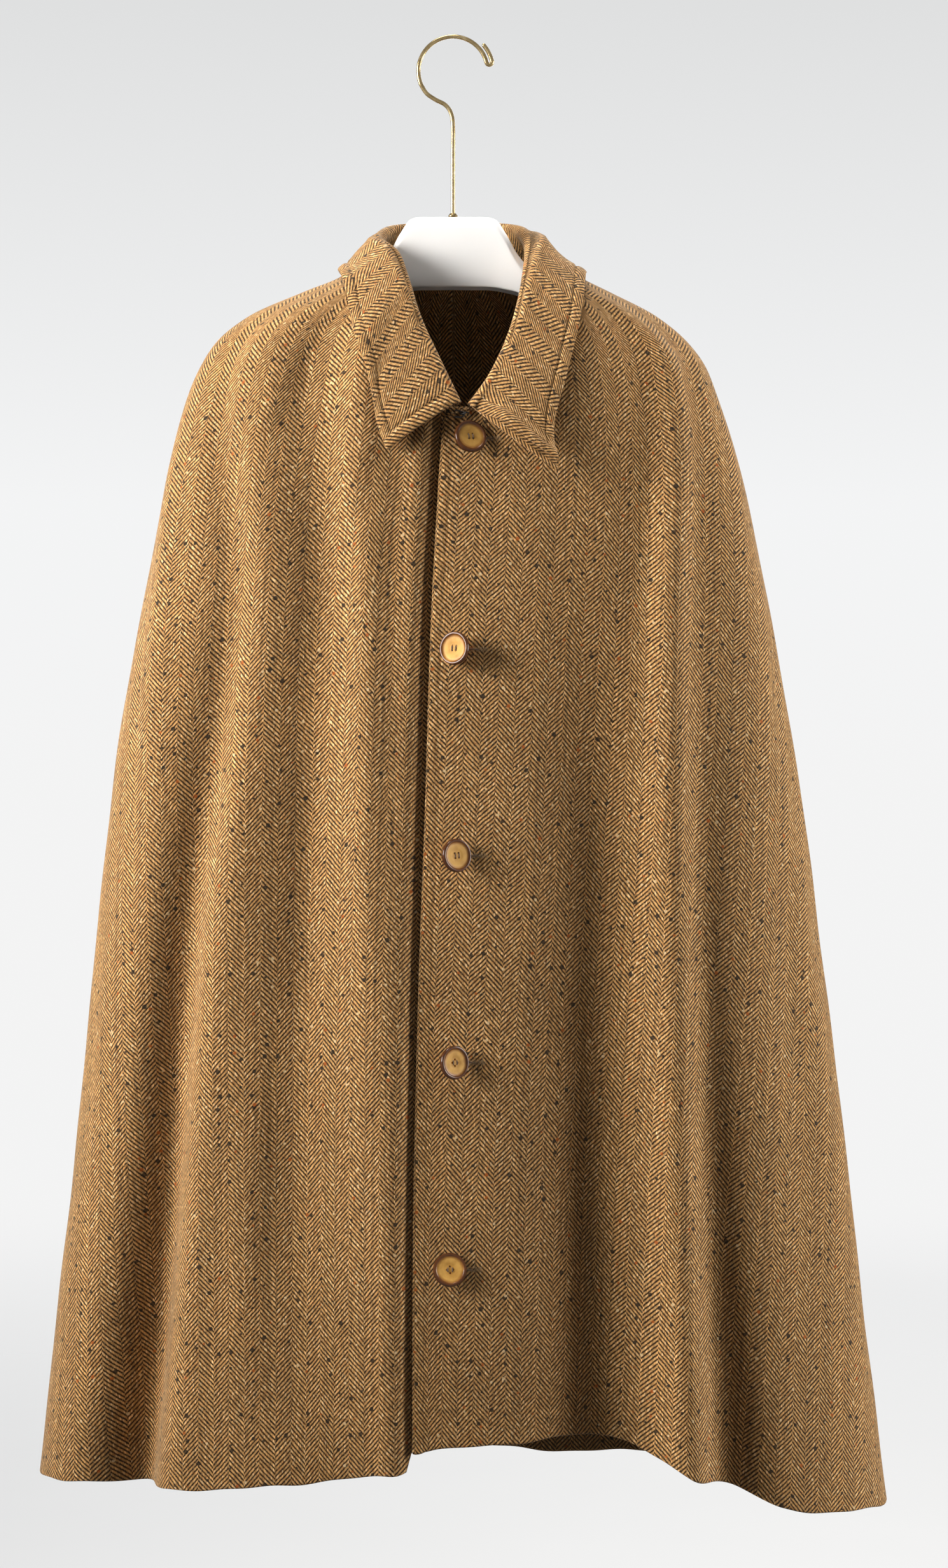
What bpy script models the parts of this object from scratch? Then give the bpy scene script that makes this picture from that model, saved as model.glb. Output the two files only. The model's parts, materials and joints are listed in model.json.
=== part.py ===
# Single-breasted tweed cape with a turn-down collar, hung on a moulded hanger
# with a wire hook.  Metres, +Z up, the front faces -Y and +X is the viewer's
# right (the wearer's left).  The origin is the inside top of the hook's loop,
# where the hook bears on whatever it hangs from.
import math

import bpy
import bmesh
import numpy as np
from mathutils import Matrix, Vector

# ---------------------------------------------------------------- sizes
WALL = 0.0020            # one layer of coat-weight tweed
SEAM = 0.0003            # gap between neighbouring pieces
ROWS = 18                # facet rows from neck to hem
FRONT_COLS = 27          # facet columns across one front
BACK_COLS = 19           # facet columns across one back half

SIDE_SEAM = 1.06         # where front and back meet, just behind the side

LAP = 0.058              # how far the right front runs on under the left
TUCK = 0.0075            # how far back the under-lapping front steps
LAP_BULGE = 0.0042       # roll of the right front beside the lap edge

BUTTON_R = 0.0150
BUTTON_T = 0.0046
BUTTON_RIM = 0.0032
BUTTON_DISH = 0.0012
BUTTON_HOLE_R = 0.0011
BUTTON_HOLE_PITCH = 0.0040

COLLAR_ROLL_R = 0.0042   # mid-layer radius of the fold along the roll line
COLLAR_CLEAR = 0.0064    # mid-layer distance kept from the cloth below
COLLAR_CROWN = 0.0045    # how far the leaf bows out between roll and edge
COLLAR_COLS = 26
COLLAR_RISE = 0.0028     # neck seam to the collar's own lower edge

HOOK_WIRE_R = 0.0020
HOOK_R = 0.0320          # to the middle of the wire
HOOK_RETURN = 0.0052     # spacing of the hairpin at the hook's end
HANGER_WALL = 0.0030

# Rings of the cape: half widths to either side, depths to front and back,
# and the power of the rounded oval.
SECTIONS = (
    # z,      left,   right,  front,  back,   power
    (-0.180, 0.0660, 0.0740, 0.0400, 0.0580, 2.00),
    (-0.205, 0.0840, 0.0940, 0.0470, 0.0650, 2.00),
    (-0.222, 0.1060, 0.1190, 0.0540, 0.0720, 2.05),
    (-0.235, 0.1380, 0.1450, 0.0590, 0.0770, 2.10),
    (-0.258, 0.1890, 0.1890, 0.0680, 0.0840, 2.20),
    (-0.282, 0.2180, 0.2180, 0.0760, 0.0890, 2.25),
    (-0.305, 0.2320, 0.2350, 0.0820, 0.0930, 2.30),
    (-0.329, 0.2420, 0.2450, 0.0870, 0.0960, 2.30),
    (-0.376, 0.2555, 0.2610, 0.0940, 0.1000, 2.35),
    (-0.494, 0.2810, 0.2890, 0.1040, 0.1070, 2.35),
    (-0.635, 0.3065, 0.3125, 0.1140, 0.1150, 2.30),
    (-0.776, 0.3240, 0.3325, 0.1220, 0.1220, 2.30),
    (-0.917, 0.3380, 0.3505, 0.1300, 0.1280, 2.25),
    (-1.059, 0.3520, 0.3655, 0.1380, 0.1350, 2.20),
    (-1.200, 0.3665, 0.3810, 0.1460, 0.1420, 2.20),
    (-1.360, 0.3860, 0.4020, 0.1540, 0.1500, 2.20),
)

# Round-the-body place: 0 centre front, +1 viewer's right side, +2 centre
# back, negative round the other way.  A fold stands out (or in) from the ring,
# and each one wanders, widens and deepens on its way down.
# Each fold: its half width round the body, then its place and how far it
# stands out (or in) at the shoulder, chest, waist and hem levels.
FOLD_LEVELS = (-0.30, -0.55, -0.85, -1.33)
FOLD_TOP = -0.23
FOLDS = (
    # name,        width, shoulder,      chest,         waist,         hem
    ("left_out",    0.060, -0.99,  0.002, -0.81,  0.006, -0.75,  0.001, -0.75, -0.005),
    ("left_gully", 0.068, -0.81,-0.005, -0.60,-0.011, -0.645,-0.026, -0.685,-0.050),
    ("left_crest", 0.060, -0.67,0.002, -0.54,0.003, -0.585,0.007, -0.59,0.003),
    ("chest_dip",   0.088, -0.47, -0.007, -0.35, -0.010, -0.35, -0.010, -0.31,  0.000),
    ("lap_roll",    0.061, -0.30,  0.006, -0.23,  0.008, -0.18,  0.012, -0.13,  0.005),
    ("right_dip", 0.120, 0.42,0.001, 0.37,-0.006, 0.34,-0.025, 0.30,-0.045),
    ("right_crest", 0.052,  0.73,  0.011,  0.57,  0.016,  0.51,  0.016,  0.47,  0.020),
    ("right_gully", 0.070, 0.99,0, 0.70,0, 0.56,-0.009, 0.555,-0.026),
    ("right_side",  0.076,  0.99, -0.001,  0.93, -0.004,  0.82, -0.006,  0.75,  0.000),
    ("back_r_dip",  0.088,  1.36,  0.000,  1.33, -0.016,  1.31, -0.022,  1.30, -0.030),
    ("back_r_roll", 0.088,  1.55,  0.001,  1.52,  0.013,  1.51,  0.017,  1.50,  0.023),
    ("back_mid",    0.095,  1.84,  0.000,  1.82, -0.008,  1.81, -0.014,  1.80, -0.023),
    ("back_l_dip",  0.082, -1.33,  0.000, -1.30, -0.017, -1.28, -0.023, -1.28, -0.032),
    ("back_l_roll", 0.092, -1.52,  0.001, -1.49,  0.014, -1.48,  0.017, -1.47,  0.022),
    ("back_l_dip2", 0.082, -1.76,  0.000, -1.74, -0.005, -1.73, -0.012, -1.72, -0.020),
)

# Neckline and hem levels round the body.
NECKLINE = (
    # place, z
    (-2.00, -0.1880), (-1.50, -0.1920), (-1.00, -0.2000), (-0.70, -0.2120),
    (-0.30, -0.2500), (-0.12, -0.3000), (-0.03, -0.3480), (0.06, -0.3520),
    (0.22, -0.3020), (0.40, -0.2500), (0.72, -0.2120), (1.00, -0.2000),
    (1.50, -0.1920), (2.00, -0.1880),
)
LEFT_FRONT_DROP = 0.0130   # the over-lapping front's corner sits this much lower
HEM_RIGHT_FRONT = (
    # place, z
    (-1.20, -1.3260), (-1.00, -1.3230), (-0.85, -1.3200), (-0.70, -1.3200),
    (-0.55, -1.3170), (-0.30, -1.3080), (-0.14, -1.2990), (-0.068, -1.2955),
    (-0.054, -1.2750), (-0.02, -1.2680), (0.20, -1.2620),
)
HEM_LEFT_FRONT = (
    # place, z
    (-0.10, -1.2790), (0.10, -1.2720), (0.26, -1.2695), (0.36, -1.2750),
    (0.42, -1.2900), (0.48, -1.3060), (0.57, -1.3150), (0.66, -1.3370),
    (0.80, -1.3450), (1.00, -1.3485), (1.20, -1.3440),
)
HEM_BACK = (
    # place, z
    (-2.00, -1.3250), (-1.60, -1.3230), (-1.20, -1.3260), (-1.00, -1.3230),
)
HEM_BACK_R = (
    # place, z
    (1.00, -1.3485), (1.20, -1.3440), (1.60, -1.3320), (2.00, -1.3250),
)

# Edge of the over-lapping front, seen from the front.
LAP_EDGE = (
    # z,     x
    (-1.360, -0.0350), (-1.100, -0.0345), (-0.900, -0.0310), (-0.700, -0.0245),
    (-0.550, -0.0200), (-0.430, -0.0135), (-0.340, -0.0070),
)

# Buttons: place across and height, and how each has turned on its thread.
BUTTONS = (
    # x,       z,      turn_deg, tip_deg
    (0.0154, -0.379,  20.0,  9.0),
    (0.0034, -0.569, -32.0,  0.0),
    (0.0029, -0.753,  36.0,  2.0),
    (0.0006, -0.936,  36.0,  0.0),
    (-0.0023, -1.118,  7.0, 11.0),
)

# Collar stations from the viewer's left end round the back to the right end:
# where the station sits on the neckline, its roll line and its outer edge.
COLLAR = (
    # along, neck,   roll_x,  roll_y,  roll_z,   edge_x,  edge_y,  edge_z
    (-1.00, -0.035,  0.0060, -0.0990, -0.3470, -0.0580, -0.1050, -0.3890),
    (-0.88, -0.110, -0.0100, -0.0890, -0.3130, -0.0655, -0.1020, -0.3690),
    (-0.72, -0.260, -0.0320, -0.0640, -0.2620, -0.0760, -0.0900, -0.3200),
    (-0.58, -0.520, -0.0420, -0.0390, -0.2270, -0.0890, -0.0620, -0.2670),
    (-0.48, -0.740, -0.0500, -0.0265, -0.2040, -0.0965, -0.0330, -0.2350),
    (-0.38, -0.960, -0.0655,  0.0010, -0.1850, -0.1010,  0.0060, -0.2200),
    (-0.27, -1.270, -0.0570,  0.0330, -0.1700, -0.0930,  0.0460, -0.2220),
    (-0.14, -1.650, -0.0270,  0.0530, -0.1640, -0.0550,  0.0850, -0.2330),
    (0.00,  -2.000,  0.0070,  0.0600, -0.1630,  0.0070,  0.0960, -0.2360),
    (0.14,  -2.350,  0.0400,  0.0540, -0.1640,  0.0680,  0.0860, -0.2330),
    (0.28,  -2.750,  0.0610,  0.0310, -0.1710,  0.1100,  0.0440, -0.2220),
    (0.44,  -3.180,  0.0680, -0.0070, -0.1960,  0.1190, -0.0180, -0.2240),
    (0.58,  -3.460,  0.0645, -0.0360, -0.2300,  0.1130, -0.0620, -0.2720),
    (0.72,  -3.680,  0.0560, -0.0640, -0.2700,  0.1030, -0.0880, -0.3160),
    (0.88,  -3.840,  0.0360, -0.0890, -0.3190,  0.0900, -0.1040, -0.3740),
    (1.00,  -3.945,  0.0165, -0.1000, -0.3490,  0.0935, -0.1100, -0.4100),
)

# Hanger, one half from the middle outwards (both halves alike).
HANGER = (
    # x,     top_z,   height, depth
    (0.0000, -0.1650, 0.0660, 0.0240),
    (0.0300, -0.1650, 0.0662, 0.0240),
    (0.0385, -0.1668, 0.0650, 0.0242),
    (0.0480, -0.1790, 0.0545, 0.0250),
    (0.0600, -0.2000, 0.0365, 0.0260),
    (0.0720, -0.2130, 0.0285, 0.0270),
    (0.1000, -0.2270, 0.0285, 0.0300),
    (0.1400, -0.2440, 0.0310, 0.0340),
    (0.1750, -0.2610, 0.0320, 0.0340),
    (0.1930, -0.2720, 0.0290, 0.0300),
    (0.2000, -0.2790, 0.0210, 0.0240),
)

# Hook below its loop: where the wire leaves the circle and turns down.
HOOK_TAIL = (
    # x,       z
    (-0.0240, -0.0510), (-0.0160, -0.0565), (-0.0075, -0.0610),
    (-0.0022, -0.0680), (0.0000, -0.0800), (0.0000, -0.1100),
    (0.0000, -0.1450), (0.0000, -0.1740),
)

# ---------------------------------------------------------------- clean start
for stale in list(bpy.data.objects):
    bpy.data.objects.remove(stale, do_unlink=True)


# ---------------------------------------------------------------- helpers
def through(x, xs, ys):
    """Smooth curve through the table's points without overshoot."""
    xs = np.asarray(xs, float)
    ys = np.asarray(ys, float)
    order = np.argsort(xs)
    xs, ys = xs[order], ys[order]
    h = np.diff(xs)
    d = np.diff(ys) / h
    m = np.zeros_like(ys)
    m[0], m[-1] = d[0], d[-1]
    for i in range(1, len(xs) - 1):
        if d[i - 1] * d[i] > 0:
            w1 = 2 * h[i] + h[i - 1]
            w2 = h[i] + 2 * h[i - 1]
            m[i] = (w1 + w2) / (w1 / d[i - 1] + w2 / d[i])
    x = np.clip(np.asarray(x, float), xs[0], xs[-1])
    i = np.clip(np.searchsorted(xs, x) - 1, 0, len(xs) - 2)
    t = (x - xs[i]) / h[i]
    return ((2 * t**3 - 3 * t**2 + 1) * ys[i] + (t**3 - 2 * t**2 + t) * h[i] * m[i]
            + (-2 * t**3 + 3 * t**2) * ys[i + 1] + (t**3 - t**2) * h[i] * m[i + 1])


def column(table, key, value):
    def read(x):
        return through(x, [r[key] for r in table], [r[value] for r in table])
    return read


def ease(t):
    t = np.clip(t, 0.0, 1.0)
    return t * t * (3 - 2 * t)


def unit(v):
    return v / np.maximum(np.linalg.norm(v, axis=-1, keepdims=True), 1e-12)


half_left, half_right, depth_front, depth_back, oval_power = (
    column(SECTIONS, 0, k) for k in range(1, 6))
neck_level = column(NECKLINE, 0, 1)
lap_edge_x = column(LAP_EDGE, 0, 1)
ARC = np.linspace(0.0, 1.0, 65)
ARC_ANGLE = (3 * ARC**2 - 2 * ARC**3) * math.pi / 2


def ring(place, z):
    """Point and flat normal of the plain oval at a place round the body."""
    place = (np.asarray(place, float) + 2.0) % 4.0 - 2.0
    z = np.broadcast_to(np.asarray(z, float), place.shape)
    a = np.where(place < 0, half_left(z), half_right(z))
    front = np.abs(place) <= 1.0
    b = np.where(front, depth_front(z), depth_back(z))
    n = oval_power(z)
    share = np.where(front, np.abs(place), 2.0 - np.abs(place))
    e = (2.0 / n)[..., None]
    xs = a[..., None] * np.sin(ARC_ANGLE) ** e
    ys = b[..., None] * np.clip(np.cos(ARC_ANGLE), 0, 1) ** e
    run = np.concatenate([np.zeros(xs.shape[:-1] + (1,)),
                          np.cumsum(np.hypot(np.diff(xs), np.diff(ys)), axis=-1)], axis=-1)
    want = share * run[..., -1]
    i = np.clip((run <= want[..., None]).sum(-1) - 1, 0, len(ARC) - 2)
    r0 = np.take_along_axis(run, i[..., None], -1)[..., 0]
    r1 = np.take_along_axis(run, i[..., None] + 1, -1)[..., 0]
    t = np.where(r1 > r0, (want - r0) / np.maximum(r1 - r0, 1e-12), 0.0)
    ang = ARC_ANGLE[i] + (ARC_ANGLE[i + 1] - ARC_ANGLE[i]) * t
    sx = np.where(place < 0, -1.0, 1.0)
    sy = np.where(front, -1.0, 1.0)
    u = np.sin(ang) ** (2.0 / n)
    v = np.clip(np.cos(ang), 0, 1) ** (2.0 / n)
    x, y = sx * a * u, sy * b * v
    nx = sx * u ** (n - 1) / a
    ny = sy * v ** (n - 1) / b
    size = np.hypot(nx, ny)
    return x, y, nx / size, ny / size, run[..., -1]


def cape(place, z, inset=0.0):
    """Outer face of the cape with its folds."""
    place = np.asarray(place, float)
    z = np.broadcast_to(np.asarray(z, float), place.shape)
    x, y, nx, ny, _ = ring(place, z)
    out = np.zeros_like(x)
    for _, width, *run in FOLDS:
        middle = through(z, FOLD_LEVELS, run[0::2])
        height = through(z, (FOLD_TOP,) + FOLD_LEVELS, [0.0] + run[1::2])
        away = (place - middle + 2.0) % 4.0 - 2.0
        out = out + height * np.exp(-(away / width) ** 2)
    out = out - inset
    return np.stack([x + nx * out, y + ny * out, z], axis=-1)


def cape_normal(place, z, inset=lambda p, zz: 0.0):
    dp, dz = 0.004, 0.003
    a = cape(place + dp, z, inset(place + dp, z)) - cape(place - dp, z, inset(place - dp, z))
    b = cape(place, z + dz, inset(place, z + dz)) - cape(place, z - dz, inset(place, z - dz))
    return unit(np.cross(a, b))


def lap_place(z):
    """Place round the body of the over-lapping front's edge."""
    return lap_edge_x(z) / ring(np.full(np.shape(z), -0.5), z)[4]


def material(name, colour, roughness, metallic=0.0):
    mat = bpy.data.materials.new(name)
    mat.use_nodes = True
    shader = mat.node_tree.nodes["Principled BSDF"]
    shader.inputs["Base Color"].default_value = (*colour, 1.0)
    shader.inputs["Roughness"].default_value = roughness
    shader.inputs["Metallic"].default_value = metallic
    return mat


TWEED = material("tweed", (0.27, 0.17, 0.075), 0.92)
HORN = material("horn", (0.52, 0.30, 0.09), 0.28)
BRASS = material("brass", (0.72, 0.48, 0.19), 0.25, 1.0)
WHITE = material("moulded_white", (0.84, 0.84, 0.83), 0.35)
BLACK = material("black_wire", (0.015, 0.014, 0.013), 0.35, 0.6)


def add_mesh(name, verts, faces, mat, smooth=True):
    mesh = bpy.data.meshes.new(name)
    mesh.from_pydata([tuple(v) for v in verts], [], faces)
    mesh.validate()
    bm = bmesh.new()
    bm.from_mesh(mesh)
    bmesh.ops.recalc_face_normals(bm, faces=bm.faces)
    bm.to_mesh(mesh)
    bm.free()
    if smooth:
        mesh.shade_smooth()
        mesh.set_sharp_from_angle(angle=math.radians(50))
    mesh.materials.append(mat)
    ob = bpy.data.objects.new(name, mesh)
    bpy.context.scene.collection.objects.link(ob)
    return ob


def wall(name, outer, inner, mat):
    """Closed wall between two grids of points of the same size."""
    rows, cols = outer.shape[:2]
    verts = np.concatenate([outer.reshape(-1, 3), inner.reshape(-1, 3)])
    size = rows * cols
    faces = []
    for r in range(rows - 1):
        for c in range(cols - 1):
            k = r * cols + c
            faces.append((k, k + 1, k + cols + 1, k + cols))
            faces.append((size + k, size + k + cols, size + k + cols + 1, size + k + 1))
    border = ([r * cols for r in range(rows)]
              + [(rows - 1) * cols + c for c in range(1, cols)]
              + [r * cols + cols - 1 for r in range(rows - 2, -1, -1)]
              + [c for c in range(cols - 2, 0, -1)])
    for i, k in enumerate(border):
        m = border[(i + 1) % len(border)]
        faces.append((k, m, size + m, size + k))
    return add_mesh(name, verts, faces, mat)


# ---------------------------------------------------------------- cape panels
def panel(name, first, last, cols, top, hem, inset=lambda p, z: 0.0):
    """Cloth wall between two edges; first and last give a place for each z."""
    f = np.linspace(0.0, 1.0, cols + 1)[None, :]
    t = np.linspace(0.0, 1.0, ROWS + 1)[:, None] ** 1.75
    nominal = first(-0.8) + (last(-0.8) - first(-0.8)) * f
    z = top(nominal) + (hem(nominal) - top(nominal)) * t
    place = first(z) + (last(z) - first(z)) * f
    z = top(place) + (hem(nominal) - top(place)) * t
    outer = cape(place, z, inset(place, z))
    inner = outer - WALL * cape_normal(place, z, inset)
    return wall(name, outer, inner, TWEED)


def gap(z):
    return 0.00022 / half_left(z)


def right_front_inset(place, z):
    beside = (place - lap_place(z)) * ring(np.full(np.shape(z), -0.5), z)[4]
    tuck = TUCK * ease((beside + 0.014) / 0.014)
    roll = LAP_BULGE * np.exp(-((beside + 0.018) / 0.010) ** 2)
    return tuck - roll


def left_front_top(place):
    return neck_level(place) - LEFT_FRONT_DROP * ease((0.05 - place) / 0.09)


def right_front_top(place):
    return np.where(place > -0.03, -0.3500, neck_level(np.minimum(place, -0.03)) - 0.0010)


panel("front_right",
      lambda z: np.full(np.shape(z), -SIDE_SEAM) + gap(z),
      lambda z: lap_place(z) + LAP / ring(np.full(np.shape(z), 0.5), z)[4],
      FRONT_COLS, right_front_top, column(HEM_RIGHT_FRONT, 0, 1), right_front_inset)
panel("front_left",
      lap_place,
      lambda z: np.full(np.shape(z), SIDE_SEAM) - gap(z),
      FRONT_COLS, left_front_top, column(HEM_LEFT_FRONT, 0, 1))
panel("back_right",
      lambda z: np.full(np.shape(z), -2.0) + gap(z),
      lambda z: np.full(np.shape(z), -SIDE_SEAM) - gap(z),
      BACK_COLS, neck_level, column(HEM_BACK, 0, 1))
panel("back_left",
      lambda z: np.full(np.shape(z), SIDE_SEAM) + gap(z),
      lambda z: np.full(np.shape(z), 2.0) - gap(z),
      BACK_COLS, neck_level, column(HEM_BACK_R, 0, 1))


# ---------------------------------------------------------------- collar
def body_samples():
    place = np.linspace(-2.0, 2.0, 401)[None, :]
    z = np.linspace(-0.188, -0.46, 110)[:, None]
    place, z = np.broadcast_arrays(place, z)
    keep = z <= neck_level(place) + 0.002
    return cape(place, z)[keep], cape_normal(place, z)[keep]


SAMPLE_AT, SAMPLE_N = body_samples()


def lifted(points, clear):
    """Points moved out of the cape's face until they clear it."""
    flat = points.reshape(-1, 3).copy()
    for i, p in enumerate(flat):
        for _ in range(3):
            k = np.argmin(((SAMPLE_AT - flat[i]) ** 2).sum(-1))
            lift = clear - float(np.dot(flat[i] - SAMPLE_AT[k], SAMPLE_N[k]))
            if lift > 0:
                flat[i] = flat[i] + SAMPLE_N[k] * lift
    return flat.reshape(points.shape)


def collar_middle(along):
    """Middle layer of the folded collar: rows from neck seam to outer edge."""
    col = [through(along, [r[0] for r in COLLAR], [r[k] for r in COLLAR]) for k in range(1, 8)]
    place = col[0]
    roll = np.stack(col[1:4], -1)
    edge = np.stack(col[4:7], -1)
    wrapped = (place + 2.0) % 4.0 - 2.0
    z = neck_level(wrapped)
    seam = cape(wrapped, z) - 0.5 * WALL * cape_normal(wrapped, z)
    away = cape_normal(wrapped, z)
    rise = unit(roll - seam)
    fall = unit(edge - roll)
    apex = unit(rise - fall)
    over = unit(away - apex * (away * apex).sum(-1, keepdims=True))
    core = roll - apex * COLLAR_ROLL_R
    begin = core - over * COLLAR_ROLL_R
    start = seam + unit(begin - seam) * COLLAR_RISE
    rows = [start + (begin - start) * k for k in (0.0, 0.45, 0.8)]
    for deg in (-90.0, -45.0, 0.0, 45.0, 90.0):
        a = math.radians(deg)
        rows.append(core + COLLAR_ROLL_R * (math.cos(a) * apex + math.sin(a) * over))
    leave = rows[-1]
    for k in (0.25, 0.5, 0.75, 1.0):
        crown = 4 * k * (1 - k) * COLLAR_CROWN
        rows.append(leave + (edge - leave) * k + over * crown)
    grid = np.stack(rows, 0)
    grid[8:] = lifted(grid[8:], COLLAR_CLEAR)
    return grid


def grid_normal(grid):
    a = np.gradient(grid, axis=1)
    b = np.gradient(grid, axis=0)
    return unit(np.cross(a, b))


station = np.linspace(-1.0, 1.0, COLLAR_COLS + 1)
middle = collar_middle(station)
face = grid_normal(middle)
if (face[-2] * np.array([0.0, -1.0, 0.3])).sum(-1)[2] < 0:
    face = -face
upper_low = middle + face * (SEAM / 2)
upper_top = middle + face * (SEAM / 2 + WALL)
under_top = middle - face * (SEAM / 2)
under_low = middle - face * (SEAM / 2 + WALL)
# the upper layer ends a little short of the under layer at the right tip
rows = len(middle)
share = ease((np.arange(rows) - 7.0) / 2.5)[:, None]
for grid in (upper_low, upper_top):
    step = grid[:, -2] - grid[:, -1]
    length = np.linalg.norm(step, axis=-1, keepdims=True)
    grid[:, -1] = grid[:, -1] + step * share * np.minimum(0.0065 / length, 0.6)
wall("upper_collar", upper_top, upper_low, TWEED)
wall("under_collar", under_top, under_low, TWEED)


# ---------------------------------------------------------------- buttons
def turned(name, profile, mat, segments=24):
    """Solid turned about Z from a closed profile of radius and height."""
    verts, faces = [], []
    ring_at = []
    for r, h in profile:
        if r < 1e-7:
            ring_at.append([len(verts)])
            verts.append((0.0, 0.0, h))
        else:
            ring_at.append(list(range(len(verts), len(verts) + segments)))
            for s in range(segments):
                a = 2 * math.pi * s / segments
                verts.append((r * math.cos(a), r * math.sin(a), h))
    for p in range(len(profile)):
        lo, hi = ring_at[p], ring_at[(p + 1) % len(profile)]
        if len(lo) == 1 and len(hi) == 1:
            continue
        for s in range(segments):
            n = (s + 1) % segments
            if len(lo) == 1:
                faces.append((lo[0], hi[s], hi[n]))
            elif len(hi) == 1:
                faces.append((lo[s], lo[n], hi[0]))
            else:
                faces.append((lo[s], lo[n], hi[n], hi[s]))
    return add_mesh(name, verts, faces, mat)


def button(name, x, z, turn, tip):
    span = np.linspace(-0.3, 0.3, 1201)
    points = cape(span, np.full(span.shape, z))
    at = int(np.argmin(np.abs(points[:, 0] - x)))
    point = points[at]
    out = Vector(cape_normal(span[at:at + 1], np.array([z]))[0])
    facing = Matrix.Rotation(math.radians(turn), 3, "Z") @ Matrix.Rotation(
        math.radians(-tip), 3, "X") @ out
    stand = BUTTON_R * math.sin(facing.angle(out)) + 0.0010
    profile = ((0.0, 0.0), (BUTTON_R * 0.80, 0.0), (BUTTON_R, BUTTON_T * 0.45),
               (BUTTON_R * 0.985, BUTTON_T * 0.80), (BUTTON_R - 0.5 * BUTTON_RIM, BUTTON_T),
               (BUTTON_R - BUTTON_RIM, BUTTON_T - BUTTON_DISH * 0.7),
               (BUTTON_R * 0.45, BUTTON_T - BUTTON_DISH), (0.0, BUTTON_T - BUTTON_DISH))
    ob = turned(name, profile, HORN)
    drill = bmesh.new()
    for sx in (-0.5, 0.5):
        for sy in (-0.5, 0.5):
            bmesh.ops.create_cone(
                drill, cap_ends=True, segments=8, radius1=BUTTON_HOLE_R, radius2=BUTTON_HOLE_R,
                depth=0.02, matrix=Matrix.Translation(
                    (sx * BUTTON_HOLE_PITCH, sy * BUTTON_HOLE_PITCH, BUTTON_T / 2)))
    mesh = bpy.data.meshes.new(name + "_drill")
    drill.to_mesh(mesh)
    drill.free()
    cutter = bpy.data.objects.new(name + "_drill", mesh)
    bpy.context.scene.collection.objects.link(cutter)
    cutter.hide_render = True
    cutter.display_type = "WIRE"
    cut = ob.modifiers.new("thread_holes", "BOOLEAN")
    cut.operation = "DIFFERENCE"
    cut.solver = "EXACT"
    cut.object = cutter
    side = Vector((0, 0, 1)).cross(facing).normalized()
    rise = facing.cross(side).normalized()
    frame = Matrix((side, rise, facing)).transposed().to_4x4()
    frame.translation = Vector(point) + out * stand
    ob.matrix_world = frame
    cutter.matrix_world = frame
    return ob


for number, (bx, bz, turn, tip) in enumerate(BUTTONS, 1):
    button("button_%d" % number, bx, bz, turn, tip)


# ---------------------------------------------------------------- wire pieces
def wire(name, points, radius, mat, resolution=2):
    curve = bpy.data.curves.new(name, "CURVE")
    curve.dimensions = "3D"
    curve.bevel_depth = radius
    curve.bevel_resolution = resolution
    curve.use_fill_caps = True
    spline = curve.splines.new("POLY")
    spline.points.add(len(points) - 1)
    for k, p in enumerate(points):
        spline.points[k].co = (*p, 1.0)
    curve.materials.append(mat)
    ob = bpy.data.objects.new(name, curve)
    bpy.context.scene.collection.objects.link(ob)
    return ob


def smooth_path(points, step):
    """Evenly spaced points on a smooth curve through the given ones."""
    p = np.asarray(points, float)
    q = np.vstack([2 * p[0] - p[1], p, 2 * p[-1] - p[-2]])
    fine = []
    for i in range(1, len(q) - 2):
        for t in np.linspace(0, 1, 24, endpoint=False):
            fine.append(0.5 * (2 * q[i] + (q[i + 1] - q[i - 1]) * t
                               + (2 * q[i - 1] - 5 * q[i] + 4 * q[i + 1] - q[i + 2]) * t**2
                               + (3 * q[i] - q[i - 1] - 3 * q[i + 1] + q[i + 2]) * t**3))
    fine.append(q[-2])
    fine = np.array(fine)
    run = np.concatenate([[0], np.cumsum(np.linalg.norm(np.diff(fine, axis=0), axis=1))])
    count = max(2, int(round(run[-1] / step)) + 1)
    at = np.linspace(0, run[-1], count)
    return np.stack([np.interp(at, run, fine[:, k]) for k in range(3)], -1)


hook_mid = -HOOK_R + HOOK_WIRE_R
end_deg, turn_deg, leave_deg = 40.0, 14.0, 205.0
path = []
for deg in np.linspace(end_deg, turn_deg, 5):
    a = math.radians(deg)
    path.append(((HOOK_R + HOOK_RETURN) * math.cos(a), 0, hook_mid + (HOOK_R + HOOK_RETURN) * math.sin(a)))
turn = math.radians(turn_deg)
centre = ((HOOK_R + HOOK_RETURN / 2) * math.cos(turn), hook_mid + (HOOK_R + HOOK_RETURN / 2) * math.sin(turn))
for deg in (-45.0, -90.0, -135.0):
    a = turn + math.radians(deg)
    path.append((centre[0] + HOOK_RETURN / 2 * math.cos(a), 0, centre[1] + HOOK_RETURN / 2 * math.sin(a)))
for deg in np.linspace(turn_deg, leave_deg, 26):
    a = math.radians(deg)
    path.append((HOOK_R * math.cos(a), 0, hook_mid + HOOK_R * math.sin(a)))
path += [(x, 0.0, z) for x, z in HOOK_TAIL]
wire("hanger_hook", smooth_path(path, 0.0034), HOOK_WIRE_R, BRASS)

# ferrule that seats the hook's shank on the hanger
top_z = HANGER[0][1]
ferrule = turned("hanger_ferrule", (
    (HOOK_WIRE_R + SEAM, 0.0), (0.0043, 0.0), (0.0043, 0.0016),
    (0.0034, 0.0030), (HOOK_WIRE_R + SEAM, 0.0030)), BRASS, 16)
ferrule.location = (0.0, 0.0, top_z + SEAM)


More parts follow.
